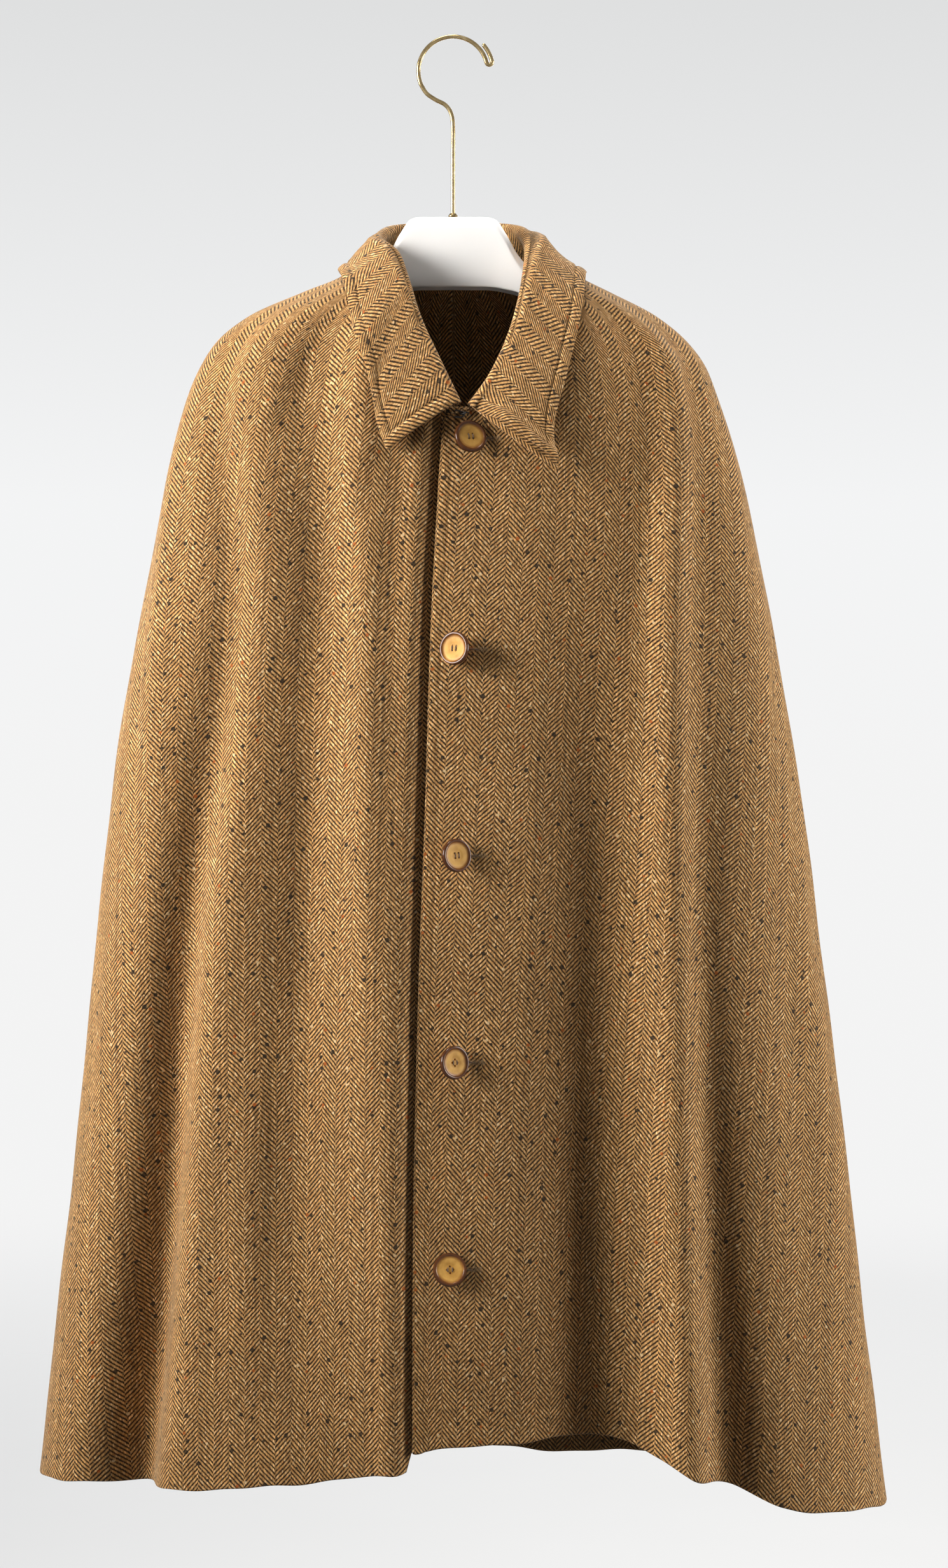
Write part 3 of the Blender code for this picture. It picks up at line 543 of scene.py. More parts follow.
# ---------------------------------------------------------------- materials
class Net:
    """Wires one material's nodes."""

    def __init__(self, name):
        self.mat = bpy.data.materials.new(name)
        self.mat.use_nodes = True
        self.tree = self.mat.node_tree
        self.shader = self.tree.nodes["Principled BSDF"]

    def put(self, socket, value):
        if isinstance(value, bpy.types.NodeSocket):
            self.tree.links.new(value, socket)
        else:
            socket.default_value = value

    def node(self, kind, **settings):
        made = self.tree.nodes.new(kind)
        for key, value in settings.items():
            setattr(made, key, value)
        return made

    def math(self, operation, a, b=None, c=None, clamp=False):
        made = self.node("ShaderNodeMath", operation=operation, use_clamp=clamp)
        for socket, value in zip(made.inputs, (a, b, c)):
            if value is not None:
                self.put(socket, value)
        return made.outputs[0]

    def pick(self, factor, a, b):
        made = self.node("ShaderNodeMix", data_type="FLOAT")
        for at, value in ((0, factor), (2, a), (3, b)):
            self.put(made.inputs[at], value)
        return made.outputs[0]

    def mix(self, factor, a, b, blend="MIX"):
        made = self.node("ShaderNodeMix", data_type="RGBA", blend_type=blend)
        for at, value in ((0, factor), (6, a), (7, b)):
            self.put(made.inputs[at], value)
        return made.outputs[2]

    def point(self, x, y, z):
        made = self.node("ShaderNodeCombineXYZ")
        for socket, value in zip(made.inputs, (x, y, z)):
            self.put(socket, value)
        return made.outputs[0]

    def chance(self, x, y, z):
        made = self.node("ShaderNodeTexWhiteNoise", noise_dimensions="3D")
        self.put(made.inputs["Vector"], self.point(x, y, z))
        return made.outputs["Value"]

    def noise(self, vector, scale, detail=2.0, roughness=0.5):
        made = self.node("ShaderNodeTexNoise", noise_dimensions="3D")
        self.put(made.inputs["Vector"], vector)
        made.inputs["Scale"].default_value = scale
        made.inputs["Detail"].default_value = detail
        made.inputs["Roughness"].default_value = roughness
        return made.outputs["Fac"]

    def ramp(self, factor, stops, interpolation="LINEAR"):
        made = self.node("ShaderNodeValToRGB")
        bar = made.color_ramp
        bar.interpolation = interpolation
        while len(bar.elements) < len(stops):
            bar.elements.new(1.0)
        for element, (at, colour) in zip(bar.elements, stops):
            element.position = at
            element.color = (*colour, 1.0)
        self.put(made.inputs[0], factor)
        return made.outputs[0]

    def bump(self, height, distance, strength=1.0, normal=None):
        made = self.node("ShaderNodeBump")
        made.inputs["Strength"].default_value = strength
        made.inputs["Distance"].default_value = distance
        self.put(made.inputs["Height"], height)
        if normal is not None:
            self.put(made.inputs["Normal"], normal)
        return made.outputs[0]

    def set(self, **values):
        names = {"colour": "Base Color", "roughness": "Roughness", "metallic": "Metallic",
                 "normal": "Normal", "sheen": "Sheen Weight", "sheen_roughness": "Sheen Roughness",
                 "sheen_tint": "Sheen Tint", "specular": "Specular IOR Level",
                 "coat": "Coat Weight", "coat_roughness": "Coat Roughness", "ior": "IOR",
                 "subsurface": "Subsurface Weight", "subsurface_radius": "Subsurface Radius",
                 "subsurface_scale": "Subsurface Scale"}
        for key, value in values.items():
            self.put(self.shader.inputs[names[key]], value)
        return self.mat


def tweed_material():
    """Herringbone: tan warp ribs over a brown weft, flecked with neps, with painted shade in its gaps and hollows and
    painted glints among its pale fibres.
    """
    net = Net("tweed_herringbone")
    uv = net.node("ShaderNodeUVMap", uv_map="weave").outputs[0]
    cut = net.node("ShaderNodeSeparateXYZ")
    net.put(cut.inputs[0], uv)
    u, v = cut.outputs[0], cut.outputs[1]
    # the loom's small irregularities
    drift = net.noise(uv, 24.0, 2.0)
    drift_b = net.noise(net.point(v, u, 3.7), 30.0, 2.0)
    u = net.math("ADD", u, net.math("MULTIPLY", net.math("SUBTRACT", drift, 0.5), 0.0020))
    v = net.math("ADD", v, net.math("MULTIPLY", net.math("SUBTRACT", drift_b, 0.5), 0.0024))
    U = net.math("DIVIDE", u, YARN)
    V = net.math("DIVIDE", v, YARN)
    k = net.math("FLOOR", net.math("DIVIDE", U, float(ENDS)))
    odd = net.math("FLOORED_MODULO", k, 2.0)
    turn = net.math("SUBTRACT", 1.0, net.math("MULTIPLY", odd, 2.0))
    within = net.math("SUBTRACT", U, net.math("MULTIPLY", k, float(ENDS)))
    end = net.math("FLOOR", U)
    fx = net.math("SUBTRACT", U, end)
    # twill ribs, climbing one way and then the other, a little stepped by each end
    step = net.math("SUBTRACT", net.math("FLOOR", within), net.math("SUBTRACT", within, 0.5))
    climb = net.math("MULTIPLY_ADD", step, 0.40, within)
    wobble = net.math("ADD", net.math("MULTIPLY", net.math("SUBTRACT", net.noise(uv, 420.0, 1.0), 0.5), 0.26),
                      net.math("MULTIPLY", net.math("SUBTRACT", net.noise(uv, 85.0, 1.0), 0.5), 0.24))
    phase = net.math("ADD", net.math("DIVIDE", net.math("MULTIPLY_ADD", turn, climb, V), 4.0),
                     wobble)
    rib = net.math("FLOOR", phase)
    m = net.math("SUBTRACT", phase, rib)
    off = net.math("ABSOLUTE", net.math("MULTIPLY_ADD", m, 2.0, -1.0))
    on_rib = net.node("ShaderNodeMapRange", interpolation_type="SMOOTHSTEP")
    net.put(on_rib.inputs["Value"], off)
    for name, value in (("From Min", 0.30), ("From Max", 0.78), ("To Min", 1.0), ("To Max", 0.0)):
        on_rib.inputs[name].default_value = value
    warp_up = on_rib.outputs[0]
    hill = net.math("SUBTRACT", 1.0, net.math("MULTIPLY", off, off))
    side = net.math("MULTIPLY_ADD", fx, 2.0, -1.0)
    strand = net.math("SUBTRACT", 1.0, net.math("MULTIPLY", side, side))
    # yarn colours: each float its own shade, each end its own tone
    each = net.chance(end, rib, net.math("ADD", odd, 1.0))
    under = net.chance(rib, net.math("FLOOR", net.math("DIVIDE", U, 2.0)), 5.0)
    yarn = net.chance(end, 2.0, 0.5)
    warp_colour = net.ramp(each, (
        (0.00, (0.450, 0.250, 0.090)), (0.45, (0.570, 0.330, 0.128)),
        (0.85, (0.690, 0.425, 0.182)), (1.0, (0.860, 0.620, 0.350))))
    # the dark weft yarn, darkened further by painted shade where it shows in the gaps between the ribs
    weft_and_gap_shade = net.ramp(under, (
        (0.00, (0.018, 0.007, 0.0018)), (0.60, (0.040, 0.017, 0.0048)), (1.0, (0.085, 0.038, 0.0120))))
    base = net.mix(warp_up, weft_and_gap_shade, warp_colour)
    tone = net.ramp(yarn, ((0.0, (0.80, 0.79, 0.77)), (0.5, (1.0, 0.99, 0.98)), (1.0, (1.18, 1.17, 1.14))))
    base = net.mix(1.0, base, tone, "MULTIPLY")
    # uneven spinning: thick and thin, light and dark over a few millimetres
    lean_uv = net.point(u, net.math("MULTIPLY", v, 0.55), 1.3)
    clump = net.noise(lean_uv, 260.0, 2.0, 0.60)
    cloud = net.ramp(clump, ((0.28, (0.68, 0.67, 0.65)), (0.50, (0.98, 0.98, 0.97)), (0.72, (1.34, 1.34, 1.33))))
    base = net.mix(1.0, base, cloud, "MULTIPLY")
    # single pale and rusty fibres; the pale ones are also painted glints on the cloth
    pale_fibre_and_glint_noise = net.noise(net.point(net.math("MULTIPLY", u, 1.9), v, 8.1), 480.0, 1.0, 0.5)
    pale = net.node("ShaderNodeMapRange", interpolation_type="SMOOTHSTEP")
    net.put(pale.inputs["Value"], pale_fibre_and_glint_noise)
    pale.inputs["From Min"].default_value = 0.60
    pale.inputs["From Max"].default_value = 0.70
    base = net.mix(net.math("MULTIPLY", pale.outputs[0], 0.34), base, (0.86, 0.66, 0.40, 1.0))
    rusty = net.node("ShaderNodeMapRange", interpolation_type="SMOOTHSTEP")
    net.put(rusty.inputs["Value"], net.noise(net.point(u, v, 4.4), 330.0, 2.0, 0.6))
    rusty.inputs["From Min"].default_value = 0.60
    rusty.inputs["From Max"].default_value = 0.72
    base = net.mix(net.math("MULTIPLY", rusty.outputs[0], 0.55), base, (0.36, 0.105, 0.020, 1.0))
    # neps: small felted lumps, mostly black, some rust and cream
    def neps(scale, seed, share, radius, colour, under_colour):
        cells = net.node("ShaderNodeTexVoronoi", voronoi_dimensions="2D", feature="F1")
        wander = net.math("MULTIPLY", net.math("SUBTRACT", net.noise(uv, 900.0, 1.0), 0.5), 0.0018)
        net.put(cells.inputs["Vector"], net.point(net.math("ADD", u, wander), net.math(
            "ADD", v, seed), 0.0))
        cells.inputs["Scale"].default_value = scale
        draw = net.node("ShaderNodeSeparateColor")
        net.put(draw.inputs[0], cells.outputs["Color"])
        keep = net.math("LESS_THAN", draw.outputs[0], share)
        reach = net.math("MULTIPLY_ADD", draw.outputs[1], radius * 0.9 * scale, radius * 0.45 * scale)
        inside = net.math("MULTIPLY", net.math(
            "SUBTRACT", reach, cells.outputs["Distance"]), 6.0 / (radius * scale), clamp=True)
        spot = net.math("MULTIPLY", keep, inside)
        return net.mix(net.math("MULTIPLY", spot, 0.88), under_colour, colour), spot
    base, lump_a = neps(92.0, 0.0, 0.27, 0.0017, (0.012, 0.009, 0.006, 1.0), base)
    base, lump_b = neps(60.0, 7.1, 0.16, 0.0014, (0.42, 0.110, 0.018, 1.0), base)
    base, lump_c = neps(80.0, 3.3, 0.16, 0.0012, (0.80, 0.62, 0.38, 1.0), base)
    # painted shade in the hollows between the ribs and the ends, and slow changes of tone over the cloth
    shade = net.math("MULTIPLY", net.math("MULTIPLY_ADD", hill, 0.42, 0.64), net.math("MULTIPLY_ADD", strand, 0.18, 0.88))
    base = net.mix(1.0, base, net.point(shade, shade, shade), "MULTIPLY")
    slow = net.noise(uv, 14.0, 3.0, 0.55)
    base = net.mix(1.0, base, net.point(
        net.math("MULTIPLY_ADD", slow, 0.30, 0.85 * TWEED_GAIN[0]), net.math("MULTIPLY_ADD", slow, 0.27, 0.865 * TWEED_GAIN[1]),
        net.math("MULTIPLY_ADD", slow, 0.22, 0.89 * TWEED_GAIN[2])), "MULTIPLY")
    fuzz = net.noise(uv, 2600.0, 2.0, 0.7)
    lumps = net.math("ADD", lump_a, net.math("ADD", lump_b, lump_c))
    raised = net.math("ADD", net.math("MULTIPLY_ADD", strand, 0.30, hill), net.math(
        "ADD", net.math("MULTIPLY", fuzz, 0.14), net.math("MULTIPLY", lumps, 0.6)))
    normal = net.bump(raised, 0.00036, 0.60)
    rough = net.math("MULTIPLY_ADD", each, 0.12, 0.80)
    return net.set(colour=base, roughness=rough, normal=normal, sheen=0.26, sheen_roughness=0.38,
                   sheen_tint=(1.0, 0.94, 0.84, 1.0), specular=0.20)


def horn_material():
    """Mottled horn: golden satin middle, brown polished rim."""
    net = Net("horn_button")
    uv = net.node("ShaderNodeUVMap", uv_map="turned").outputs[0]
    cut = net.node("ShaderNodeSeparateXYZ")
    net.put(cut.inputs[0], uv)
    spot = net.node("ShaderNodeTexCoord").outputs["Object"]
    streak = net.noise(spot, 130.0, 3.0, 0.5)
    cloud = net.noise(spot, 70.0, 2.0, 0.5)
    reach = net.math("ADD", cut.outputs[0], net.math(
        "MULTIPLY", net.math("SUBTRACT", cloud, 0.5), 0.26))
    base = net.ramp(reach, (
        (0.00, (0.47, 0.245, 0.048)), (0.30, (0.54, 0.290, 0.062)), (0.62, (0.60, 0.340, 0.082)),
        (0.74, (0.34, 0.150, 0.030)), (0.82, (0.115, 0.038, 0.008)), (1.0, (0.060, 0.018, 0.004))))
    tone = net.ramp(streak, ((0.30, (0.80, 0.74, 0.66)), (0.52, (1.0, 1.0, 1.0)), (0.75, (1.12, 1.12, 1.08))))
    base = net.mix(1.0, base, tone, "MULTIPLY")
    polish = net.ramp(cut.outputs[0], ((0.60, (0.55, 0.55, 0.55)), (0.80, (0.16, 0.16, 0.16)), (1.0, (0.10, 0.10, 0.10))))
    rough = net.math("MULTIPLY_ADD", streak, 0.10, polish)
    normal = net.bump(streak, 0.00006, 0.5)
    return net.set(colour=base, roughness=rough, normal=normal, ior=1.54, specular=0.22)


def brass_material():
    net = Net("brass_wire")
    spot = net.node("ShaderNodeTexCoord").outputs["Object"]
    worn = net.noise(spot, 140.0, 4.0, 0.6)
    base = net.ramp(worn, ((0.25, (0.22, 0.155, 0.070)), (0.55, (0.36, 0.27, 0.135)), (0.8, (0.50, 0.40, 0.235))))
    rough = net.math("MULTIPLY_ADD", worn, 0.22, 0.12)
    normal = net.bump(net.noise(spot, 900.0, 2.0), 0.00004, 0.4)
    return net.set(colour=base, roughness=rough, metallic=1.0, normal=normal)


def white_material():
    net = Net("moulded_white")
    spot = net.node("ShaderNodeTexCoord").outputs["Object"]
    cloud = net.noise(spot, 22.0, 3.0)
    base = net.ramp(cloud, ((0.25, (0.94, 0.94, 0.935)), (0.75, (0.97, 0.97, 0.968))))
    rough = net.math("MULTIPLY_ADD", net.noise(spot, 300.0, 3.0), 0.14, 0.30)
    normal = net.bump(net.noise(spot, 700.0, 2.0), 0.00005, 0.35)
    return net.set(colour=base, roughness=rough, normal=normal)


def black_material():
    net = Net("black_wire")
    spot = net.node("ShaderNodeTexCoord").outputs["Object"]
    worn = net.noise(spot, 900.0, 4.0, 0.65)
    base = net.ramp(worn, ((0.45, (0.012, 0.011, 0.010)), (0.62, (0.05, 0.048, 0.045)), (0.72, (0.42, 0.41, 0.40))))
    rough = net.math("MULTIPLY_ADD", worn, 0.25, 0.18)
    return net.set(colour=base, roughness=rough, metallic=0.8)


def thread_material(name, dark, light):
    net = Net(name)
    spot = net.node("ShaderNodeTexCoord").outputs["Object"]
    ply = net.node("ShaderNodeTexWave", wave_type="BANDS", bands_direction="DIAGONAL")
    net.put(ply.inputs["Vector"], spot)
    ply.inputs["Scale"].default_value = 900.0
    ply.inputs["Distortion"].default_value = 1.5
    base = net.ramp(ply.outputs["Fac"], ((0.1, dark), (0.9, light)))
    normal = net.bump(ply.outputs["Fac"], 0.0001, 0.8)
    rough = net.math("MULTIPLY_ADD", ply.outputs["Fac"], 0.2, 0.55)
    return net.set(colour=base, roughness=rough, normal=normal, sheen=0.2)


TWEED = tweed_material()
HORN = horn_material()
BRASS = brass_material()
WHITE = white_material()
BLACK = black_material()
THREAD = thread_material("sewing_thread", (0.055, 0.026, 0.009), (0.15, 0.080, 0.030))
TOPSTITCH = thread_material("topstitch_thread", (0.20, 0.115, 0.045), (0.40, 0.25, 0.11))


# ---------------------------------------------------------------- cape panels
def flat_cut(base, place_at_level, side, grain_last=False, lean=1.15):
    """Where each point lay on the flat cut, in metres: the grain runs down the
    front edge (or the middle of the back) and the flare fans out from it."""
    grid = base[:, ::-1] if grain_last else base
    cols = grid.shape[1]
    def section(z):
        place = place_at_level(z)
        line = cape(place, np.full(place.shape, z))
        line = line[::-1] if grain_last else line
        return np.concatenate([[0.0], np.cumsum(np.linalg.norm(np.diff(line, axis=0), axis=-1))])
    high, low = -0.75, -1.24
    s_high, s_low = section(high), section(low)
    fall = np.concatenate([np.zeros((1, cols)), np.cumsum(
        np.linalg.norm(np.diff(grid, axis=0), axis=-1), axis=0)], axis=0)
    zero = np.array([np.interp(-high, -grid[:, c, 2], fall[:, c]) for c in range(cols)])
    fall = fall - zero[None, :]
    share = s_high / s_high[-1]
    spread = (s_low - s_high) / (high - low)
    phi = lean * spread[-1] * share
    ds = np.diff(s_high, prepend=0.0)
    x0 = np.cumsum(np.cos(phi) * ds)
    y0 = np.cumsum(np.sin(phi) * ds)
    flat = np.stack([x0 + fall * np.sin(phi), y0 - fall * np.cos(phi)], -1)
    if grain_last:
        flat = flat[:, ::-1] * np.array([-1.0, 1.0])
    return flat


def panel(name, first, last, margin, spread, rows, top, hem, side, inset=lambda p, z: 0.0,
          front_edge=False, grain_last=False):
    """Cloth shell between two edges.  margin lists the first columns' distances
    from the edge in metres, and spread counts the columns over the rest."""
    margin = np.asarray(margin, float)
    rest = np.linspace(0.0, 1.0, spread + 1)[1:]
    t = np.concatenate([np.linspace(0.0, 1.0, rows - 3) ** 1.45])
    tail = 1.0 - np.array([0.0028, 0.0012])
    t = np.sort(np.concatenate([t[:-1], tail, [1.0]]))[:, None]
    n = len(margin)
    def place_of(z):
        """Place of every point of a grid of levels, one column of z for each."""
        a, b, q = first(z), last(z), quarter(z, side)
        start = a + margin[-1] / q
        return np.concatenate([a[:, :n] + margin[None, :] / q[:, :n],
                               start[:, n:] + (b - start)[:, n:] * rest[None, :]], axis=1)
    nominal = place_of(np.full((len(t), n + spread), -0.8))
    z = top(nominal) + (hem(nominal) - top(nominal)) * t
    for _ in range(3):
        place = place_of(z)
        z = top(place) + (hem(nominal) - top(place)) * t
    base = cape(place, z, inset(place, z))
    normal = cape_normal(place, z, inset)
    outer = base.copy()
    wall = np.full(z.shape, WALL)
    if front_edge:
        aside = (place - first(z)) * quarter(z, side)
        near = np.clip(aside / STITCH_IN, 0.0, 1.0)
        puff = MARGIN_PUFF * np.sin(math.pi * near) ** 0.8 * (aside < STITCH_IN)
        groove = STITCH_DEPTH * np.exp(-((aside - STITCH_IN) / 0.0016) ** 2)
        after = 0.0002 * np.exp(-((aside - STITCH_IN - 0.0042) / 0.0022) ** 2)
        outer = outer + normal * (puff - groove + after)[..., None]
        wall = wall + (EDGE_WALL - WALL) * (1 - ease((aside - 0.004) / 0.009))
    # the turned-up hem is a little fuller
    to_hem = (z - hem(nominal))
    wall = wall + 0.0007 * np.exp(-(to_hem / 0.006) ** 2)
    inner = base - normal * wall[..., None]
    uv = flat_cut(base, lambda level: place_of(np.full((1, n + spread), level))[0], side, grain_last)
    ob = shell(name, outer, inner, TWEED, uv)
    return ob, outer, normal


def gap(z):
    return 0.00002 / half_left(z)


def right_front_inset(place, z):
    beside = (place - lap_place(z)) * quarter(z)
    tuck = TUCK * ease((beside + 0.014) / 0.014)
    roll = LAP_BULGE * np.exp(-((beside + 0.018) / 0.010) ** 2)
    return tuck - roll


def left_front_top(place):
    return neck_level(place) - LEFT_FRONT_DROP * ease((0.05 - place) / 0.09)


def right_front_top(place):
    return np.where(place > -0.03, -0.3500, neck_level(np.minimum(place, -0.03)) - 0.0010)


def raised(table, by=0.0010):
    read = column(table, 0, 1)
    return lambda p: read(p) + by + 0.0006 * np.sin(31.0 * p + 0.6) + 0.0005 * np.sin(57.0 * p + 2.1)


EDGE_MARGIN = np.concatenate([np.linspace(0.0, 0.0145, 17), [0.0170, 0.0205]])
SEAM_MARGIN = np.array([0.0, 0.0010, 0.0022, 0.0040])
SEAM_BACK = 0.00094

front_right, fr_outer, fr_normal = panel(
    "front_right_cloth",
    lambda z: np.full(np.shape(z), -SIDE_SEAM) + gap(z) + SEAM_BACK / quarter(z),
    lambda z: lap_place(z) + LAP / quarter(z, 1) - 0.001 / quarter(z, 1),
    SEAM_MARGIN, 128, 236, right_front_top, raised(HEM_RIGHT_FRONT), 0, right_front_inset,
    grain_last=True)
front_left, fl_outer, fl_normal = panel(
    "front_left_cloth",
    lambda z: lap_place(z) + 0.0018 / quarter(z),
    lambda z: np.full(np.shape(z), SIDE_SEAM) - gap(z) - SEAM_BACK / quarter(z, 1),
    EDGE_MARGIN, 120, 236, left_front_top, raised(HEM_LEFT_FRONT), 1, front_edge=True)
back_right, br_outer, br_normal = panel(
    "back_right_cloth",
    lambda z: np.full(np.shape(z), -2.0) + gap(z) + SEAM_BACK / quarter(z, 2),
    lambda z: np.full(np.shape(z), -SIDE_SEAM) - gap(z) - SEAM_BACK / quarter(z, 2),
    SEAM_MARGIN, 88, 200, neck_level, raised(HEM_BACK), 2)
back_left, bl_outer, bl_normal = panel(
    "back_left_cloth",
    lambda z: np.full(np.shape(z), SIDE_SEAM) + gap(z) + SEAM_BACK / quarter(z, 3),
    lambda z: np.full(np.shape(z), 2.0) - gap(z) - SEAM_BACK / quarter(z, 3),
    SEAM_MARGIN, 88, 200, neck_level, raised(HEM_BACK_R), 3, grain_last=True)


# ---------------------------------------------------------------- collar
def body_tree():
    place = np.linspace(-2.0, 2.0, 501)[None, :]
    z = np.linspace(-0.188, -0.46, 150)[:, None]
    place, z = np.broadcast_arrays(place, z)
    keep = z <= neck_level(place) + 0.002
    at, normal = cape(place, z)[keep], cape_normal(place, z)[keep]
    tree = KDTree(len(at))
    for i, p in enumerate(at):
        tree.insert(p, i)
    tree.balance()
    return tree, at, normal


BODY_TREE, BODY_AT, BODY_N = body_tree()


def blurred(field, times):
    for _ in range(times):
        p = np.pad(field, ((1, 1), (1, 1)) + ((0, 0),) * (field.ndim - 2), mode="edge")
        field = (p[1:-1, 1:-1] * 2 + p[:-2, 1:-1] + p[2:, 1:-1] + p[1:-1, :-2] + p[1:-1, 2:]) / 6
    return field


def lifted(points, clear):
    """Points moved out of the cape's face until they clear it."""
    moved = points.copy()
    for _ in range(4):
        flat = moved.reshape(-1, 3)
        lift = np.zeros(len(flat))
        way = np.zeros_like(flat)
        for i, p in enumerate(flat):
            _, k, _ = BODY_TREE.find(p)
            way[i] = BODY_N[k]
            lift[i] = max(0.0, clear - float(np.dot(p - BODY_AT[k], BODY_N[k])))
        lift = blurred(lift.reshape(points.shape[:2]), 6)
        way = unit(blurred(way.reshape(points.shape), 6))
        moved = moved + way * lift[..., None]
    return moved


def collar_grid(along):
    """Middle layer of the folded collar, from neck seam to outer edge, and
    each point's distance from the outer edge."""
    col = [through(along, [r[0] for r in COLLAR], [r[k] for r in COLLAR]) for k in range(1, 8)]
    place = col[0]
    roll = np.stack(col[1:4], -1)
    edge = np.stack(col[4:7], -1)
    wrapped = (place + 2.0) % 4.0 - 2.0
    z = neck_level(wrapped)
    away = cape_normal(wrapped, z)
    seam = cape(wrapped, z) - 0.5 * WALL * away
    rise = unit(roll - seam)
    fall = unit(edge - roll)
    apex = unit(rise - fall)
    over = unit(away - apex * (away * apex).sum(-1, keepdims=True))
    core = roll - apex * COLLAR_ROLL_R
    begin = core - over * COLLAR_ROLL_R
    start = seam + unit(begin - seam) * COLLAR_RISE
    rows = [start + (begin - start) * k for k in np.linspace(0.0, 1.0, 8)[:-1]]
    for deg in np.linspace(-90.0, 90.0, 13):
        a = math.radians(deg)
        rows.append(core + COLLAR_ROLL_R * (math.cos(a) * apex + math.sin(a) * over))
    leave = rows[-1]
    first_leaf = len(rows)
    size = np.linalg.norm(edge - leave, axis=-1, keepdims=True)
    margin = np.clip(0.0150 / size, 0.0, 0.5)
    ks = [(1 - margin) * k for k in np.linspace(0.0, 1.0, 22)[1:]]
    ks += [1 - margin * (1 - k) for k in np.linspace(0.0, 1.0, 17)[1:]]
    to_edge = [np.full(len(along), 1.0)] * first_leaf
    for k in ks:
        crown = 4 * k * (1 - k) * COLLAR_CROWN
        rows.append(leave + (edge - leave) * k + over * crown)
        to_edge.append(((1 - k) * size)[:, 0])
    grid = np.stack(rows, 0)
    grid[first_leaf:] = lifted(grid[first_leaf:], COLLAR_CLEAR)
    return grid, np.stack(to_edge, 0), first_leaf


def grid_normal(grid):
    a = np.gradient(grid, axis=1)
    b = np.gradient(grid, axis=0)
    return unit(np.cross(a, b))


STATIONS = np.concatenate([
    np.linspace(-1.0, -0.90, 22), np.linspace(-0.90, 0.90, 150)[1:-1], np.linspace(0.90, 1.0, 22)])
middle, to_edge, leaf = collar_grid(STATIONS)
face = grid_normal(middle)
if (face[-2] * np.array([0.0, -1.0, 0.3])).sum(-1)[8] < 0:
    face = -face


def run_along(grid):
    return np.concatenate([np.zeros((len(grid), 1)), np.cumsum(
        np.linalg.norm(np.diff(grid, axis=1), axis=-1), axis=1)], axis=1)


collar_run = run_along(middle)
to_end = np.minimum(collar_run, collar_run[:, -1:] - collar_run)
on_leaf = np.zeros(len(middle))
on_leaf[leaf:] = 1.0
from_edge = np.minimum(to_edge, np.where(on_leaf[:, None] > 0, to_end, 1.0))
# distance down from the roll line, for the weave
fall_run = np.concatenate([np.zeros((1, middle.shape[1])), np.cumsum(
    np.linalg.norm(np.diff(middle, axis=0), axis=-1), axis=0)], axis=0)
fall_run = fall_run - fall_run[leaf - 7:leaf - 6]
mean_run = collar_run[leaf + 12]
collar_uv = np.stack([np.broadcast_to(mean_run[None, :], fall_run.shape) * 1.0, -fall_run], -1)

near = np.clip(from_edge / STITCH_IN_COLLAR, 0, 1)
puff = 0.0009 * np.sin(math.pi * near) ** 0.8 * (from_edge < STITCH_IN_COLLAR)
groove = 0.0008 * np.exp(-((from_edge - STITCH_IN_COLLAR) / 0.0013) ** 2)
after = 0.0003 * np.exp(-((from_edge - STITCH_IN_COLLAR - 0.0042) / 0.0022) ** 2)
dress = (puff - groove + after) * on_leaf[:, None]

upper_low = middle + face * (SEAM / 2)
upper_top = middle + face * (SEAM / 2 + WALL + dress[..., None])
under_top = middle - face * (SEAM / 2)
under_low = middle - face * (SEAM / 2 + WALL)
# the upper layer ends a little short of the under layer at the right tip,
# and lifts off it there
share = (ease((np.arange(len(middle)) - leaf + 1.0) / 10.0))[:, None]
right_run = collar_run[:, -1:] - collar_run
pull = 0.0105 * share * (1 - ease(right_run / 0.034))
along_way = unit(np.gradient(middle, axis=1))
for grid in (upper_low, upper_top):
    grid -= along_way * pull[..., None]
    grid += face * (0.0026 * share * (1 - ease(right_run / 0.024)))[..., None]
for grid in (upper_low, upper_top, under_low, under_top):
    grid += face * (0.0030 * share * (1 - ease(right_run / 0.030)))[..., None]
upper_collar = shell("upper_collar_cloth", upper_top, upper_low, TWEED, collar_uv + np.array([0.004, 0.0]))
under_collar = shell("under_collar_cloth", under_top, under_low, TWEED, collar_uv + np.array([0.011, 0.005]))


# ---------------------------------------------------------------- buttons
def place_at(x, z):
    span = np.linspace(-0.4, 0.4, 1601)
    points = cape(span, np.full(span.shape, z))
    return span[int(np.argmin(np.abs(points[:, 0] - x)))]


def button_profile():
    r, t, rim, dish = BUTTON_R, BUTTON_T, BUTTON_RIM, BUTTON_DISH
    out = [(0.0, 0.0), (r * 0.40, 0.0), (r * 0.74, 0.00008), (r * 0.80, 0.0003)]
    for deg in np.linspace(-62, 62, 11):
        a = math.radians(deg)
        out.append((r - 0.0012 + 0.0012 * math.cos(a), t * 0.50 + t * 0.40 * math.sin(a) / math.sin(math.radians(62))))
    for deg in np.linspace(40, 170, 12):
        a = math.radians(deg)
        out.append((r - rim * 0.50 + rim * 0.42 * math.cos(a), t - 0.0007 + 0.0007 * math.sin(a)))
    out += [(r - rim * 1.02, t - dish * 0.55), (r - rim * 1.18, t - dish * 0.78), (r - rim * 1.45, t - dish * 0.88),
            (r * 0.50, t - dish * 0.97), (r * 0.38, t - dish * 1.02), (r * 0.345, t - dish * 1.16),
            (r * 0.30, t - dish * 1.22), (r * 0.15, t - dish * 1.20), (0.0, t - dish * 1.18)]
    return out


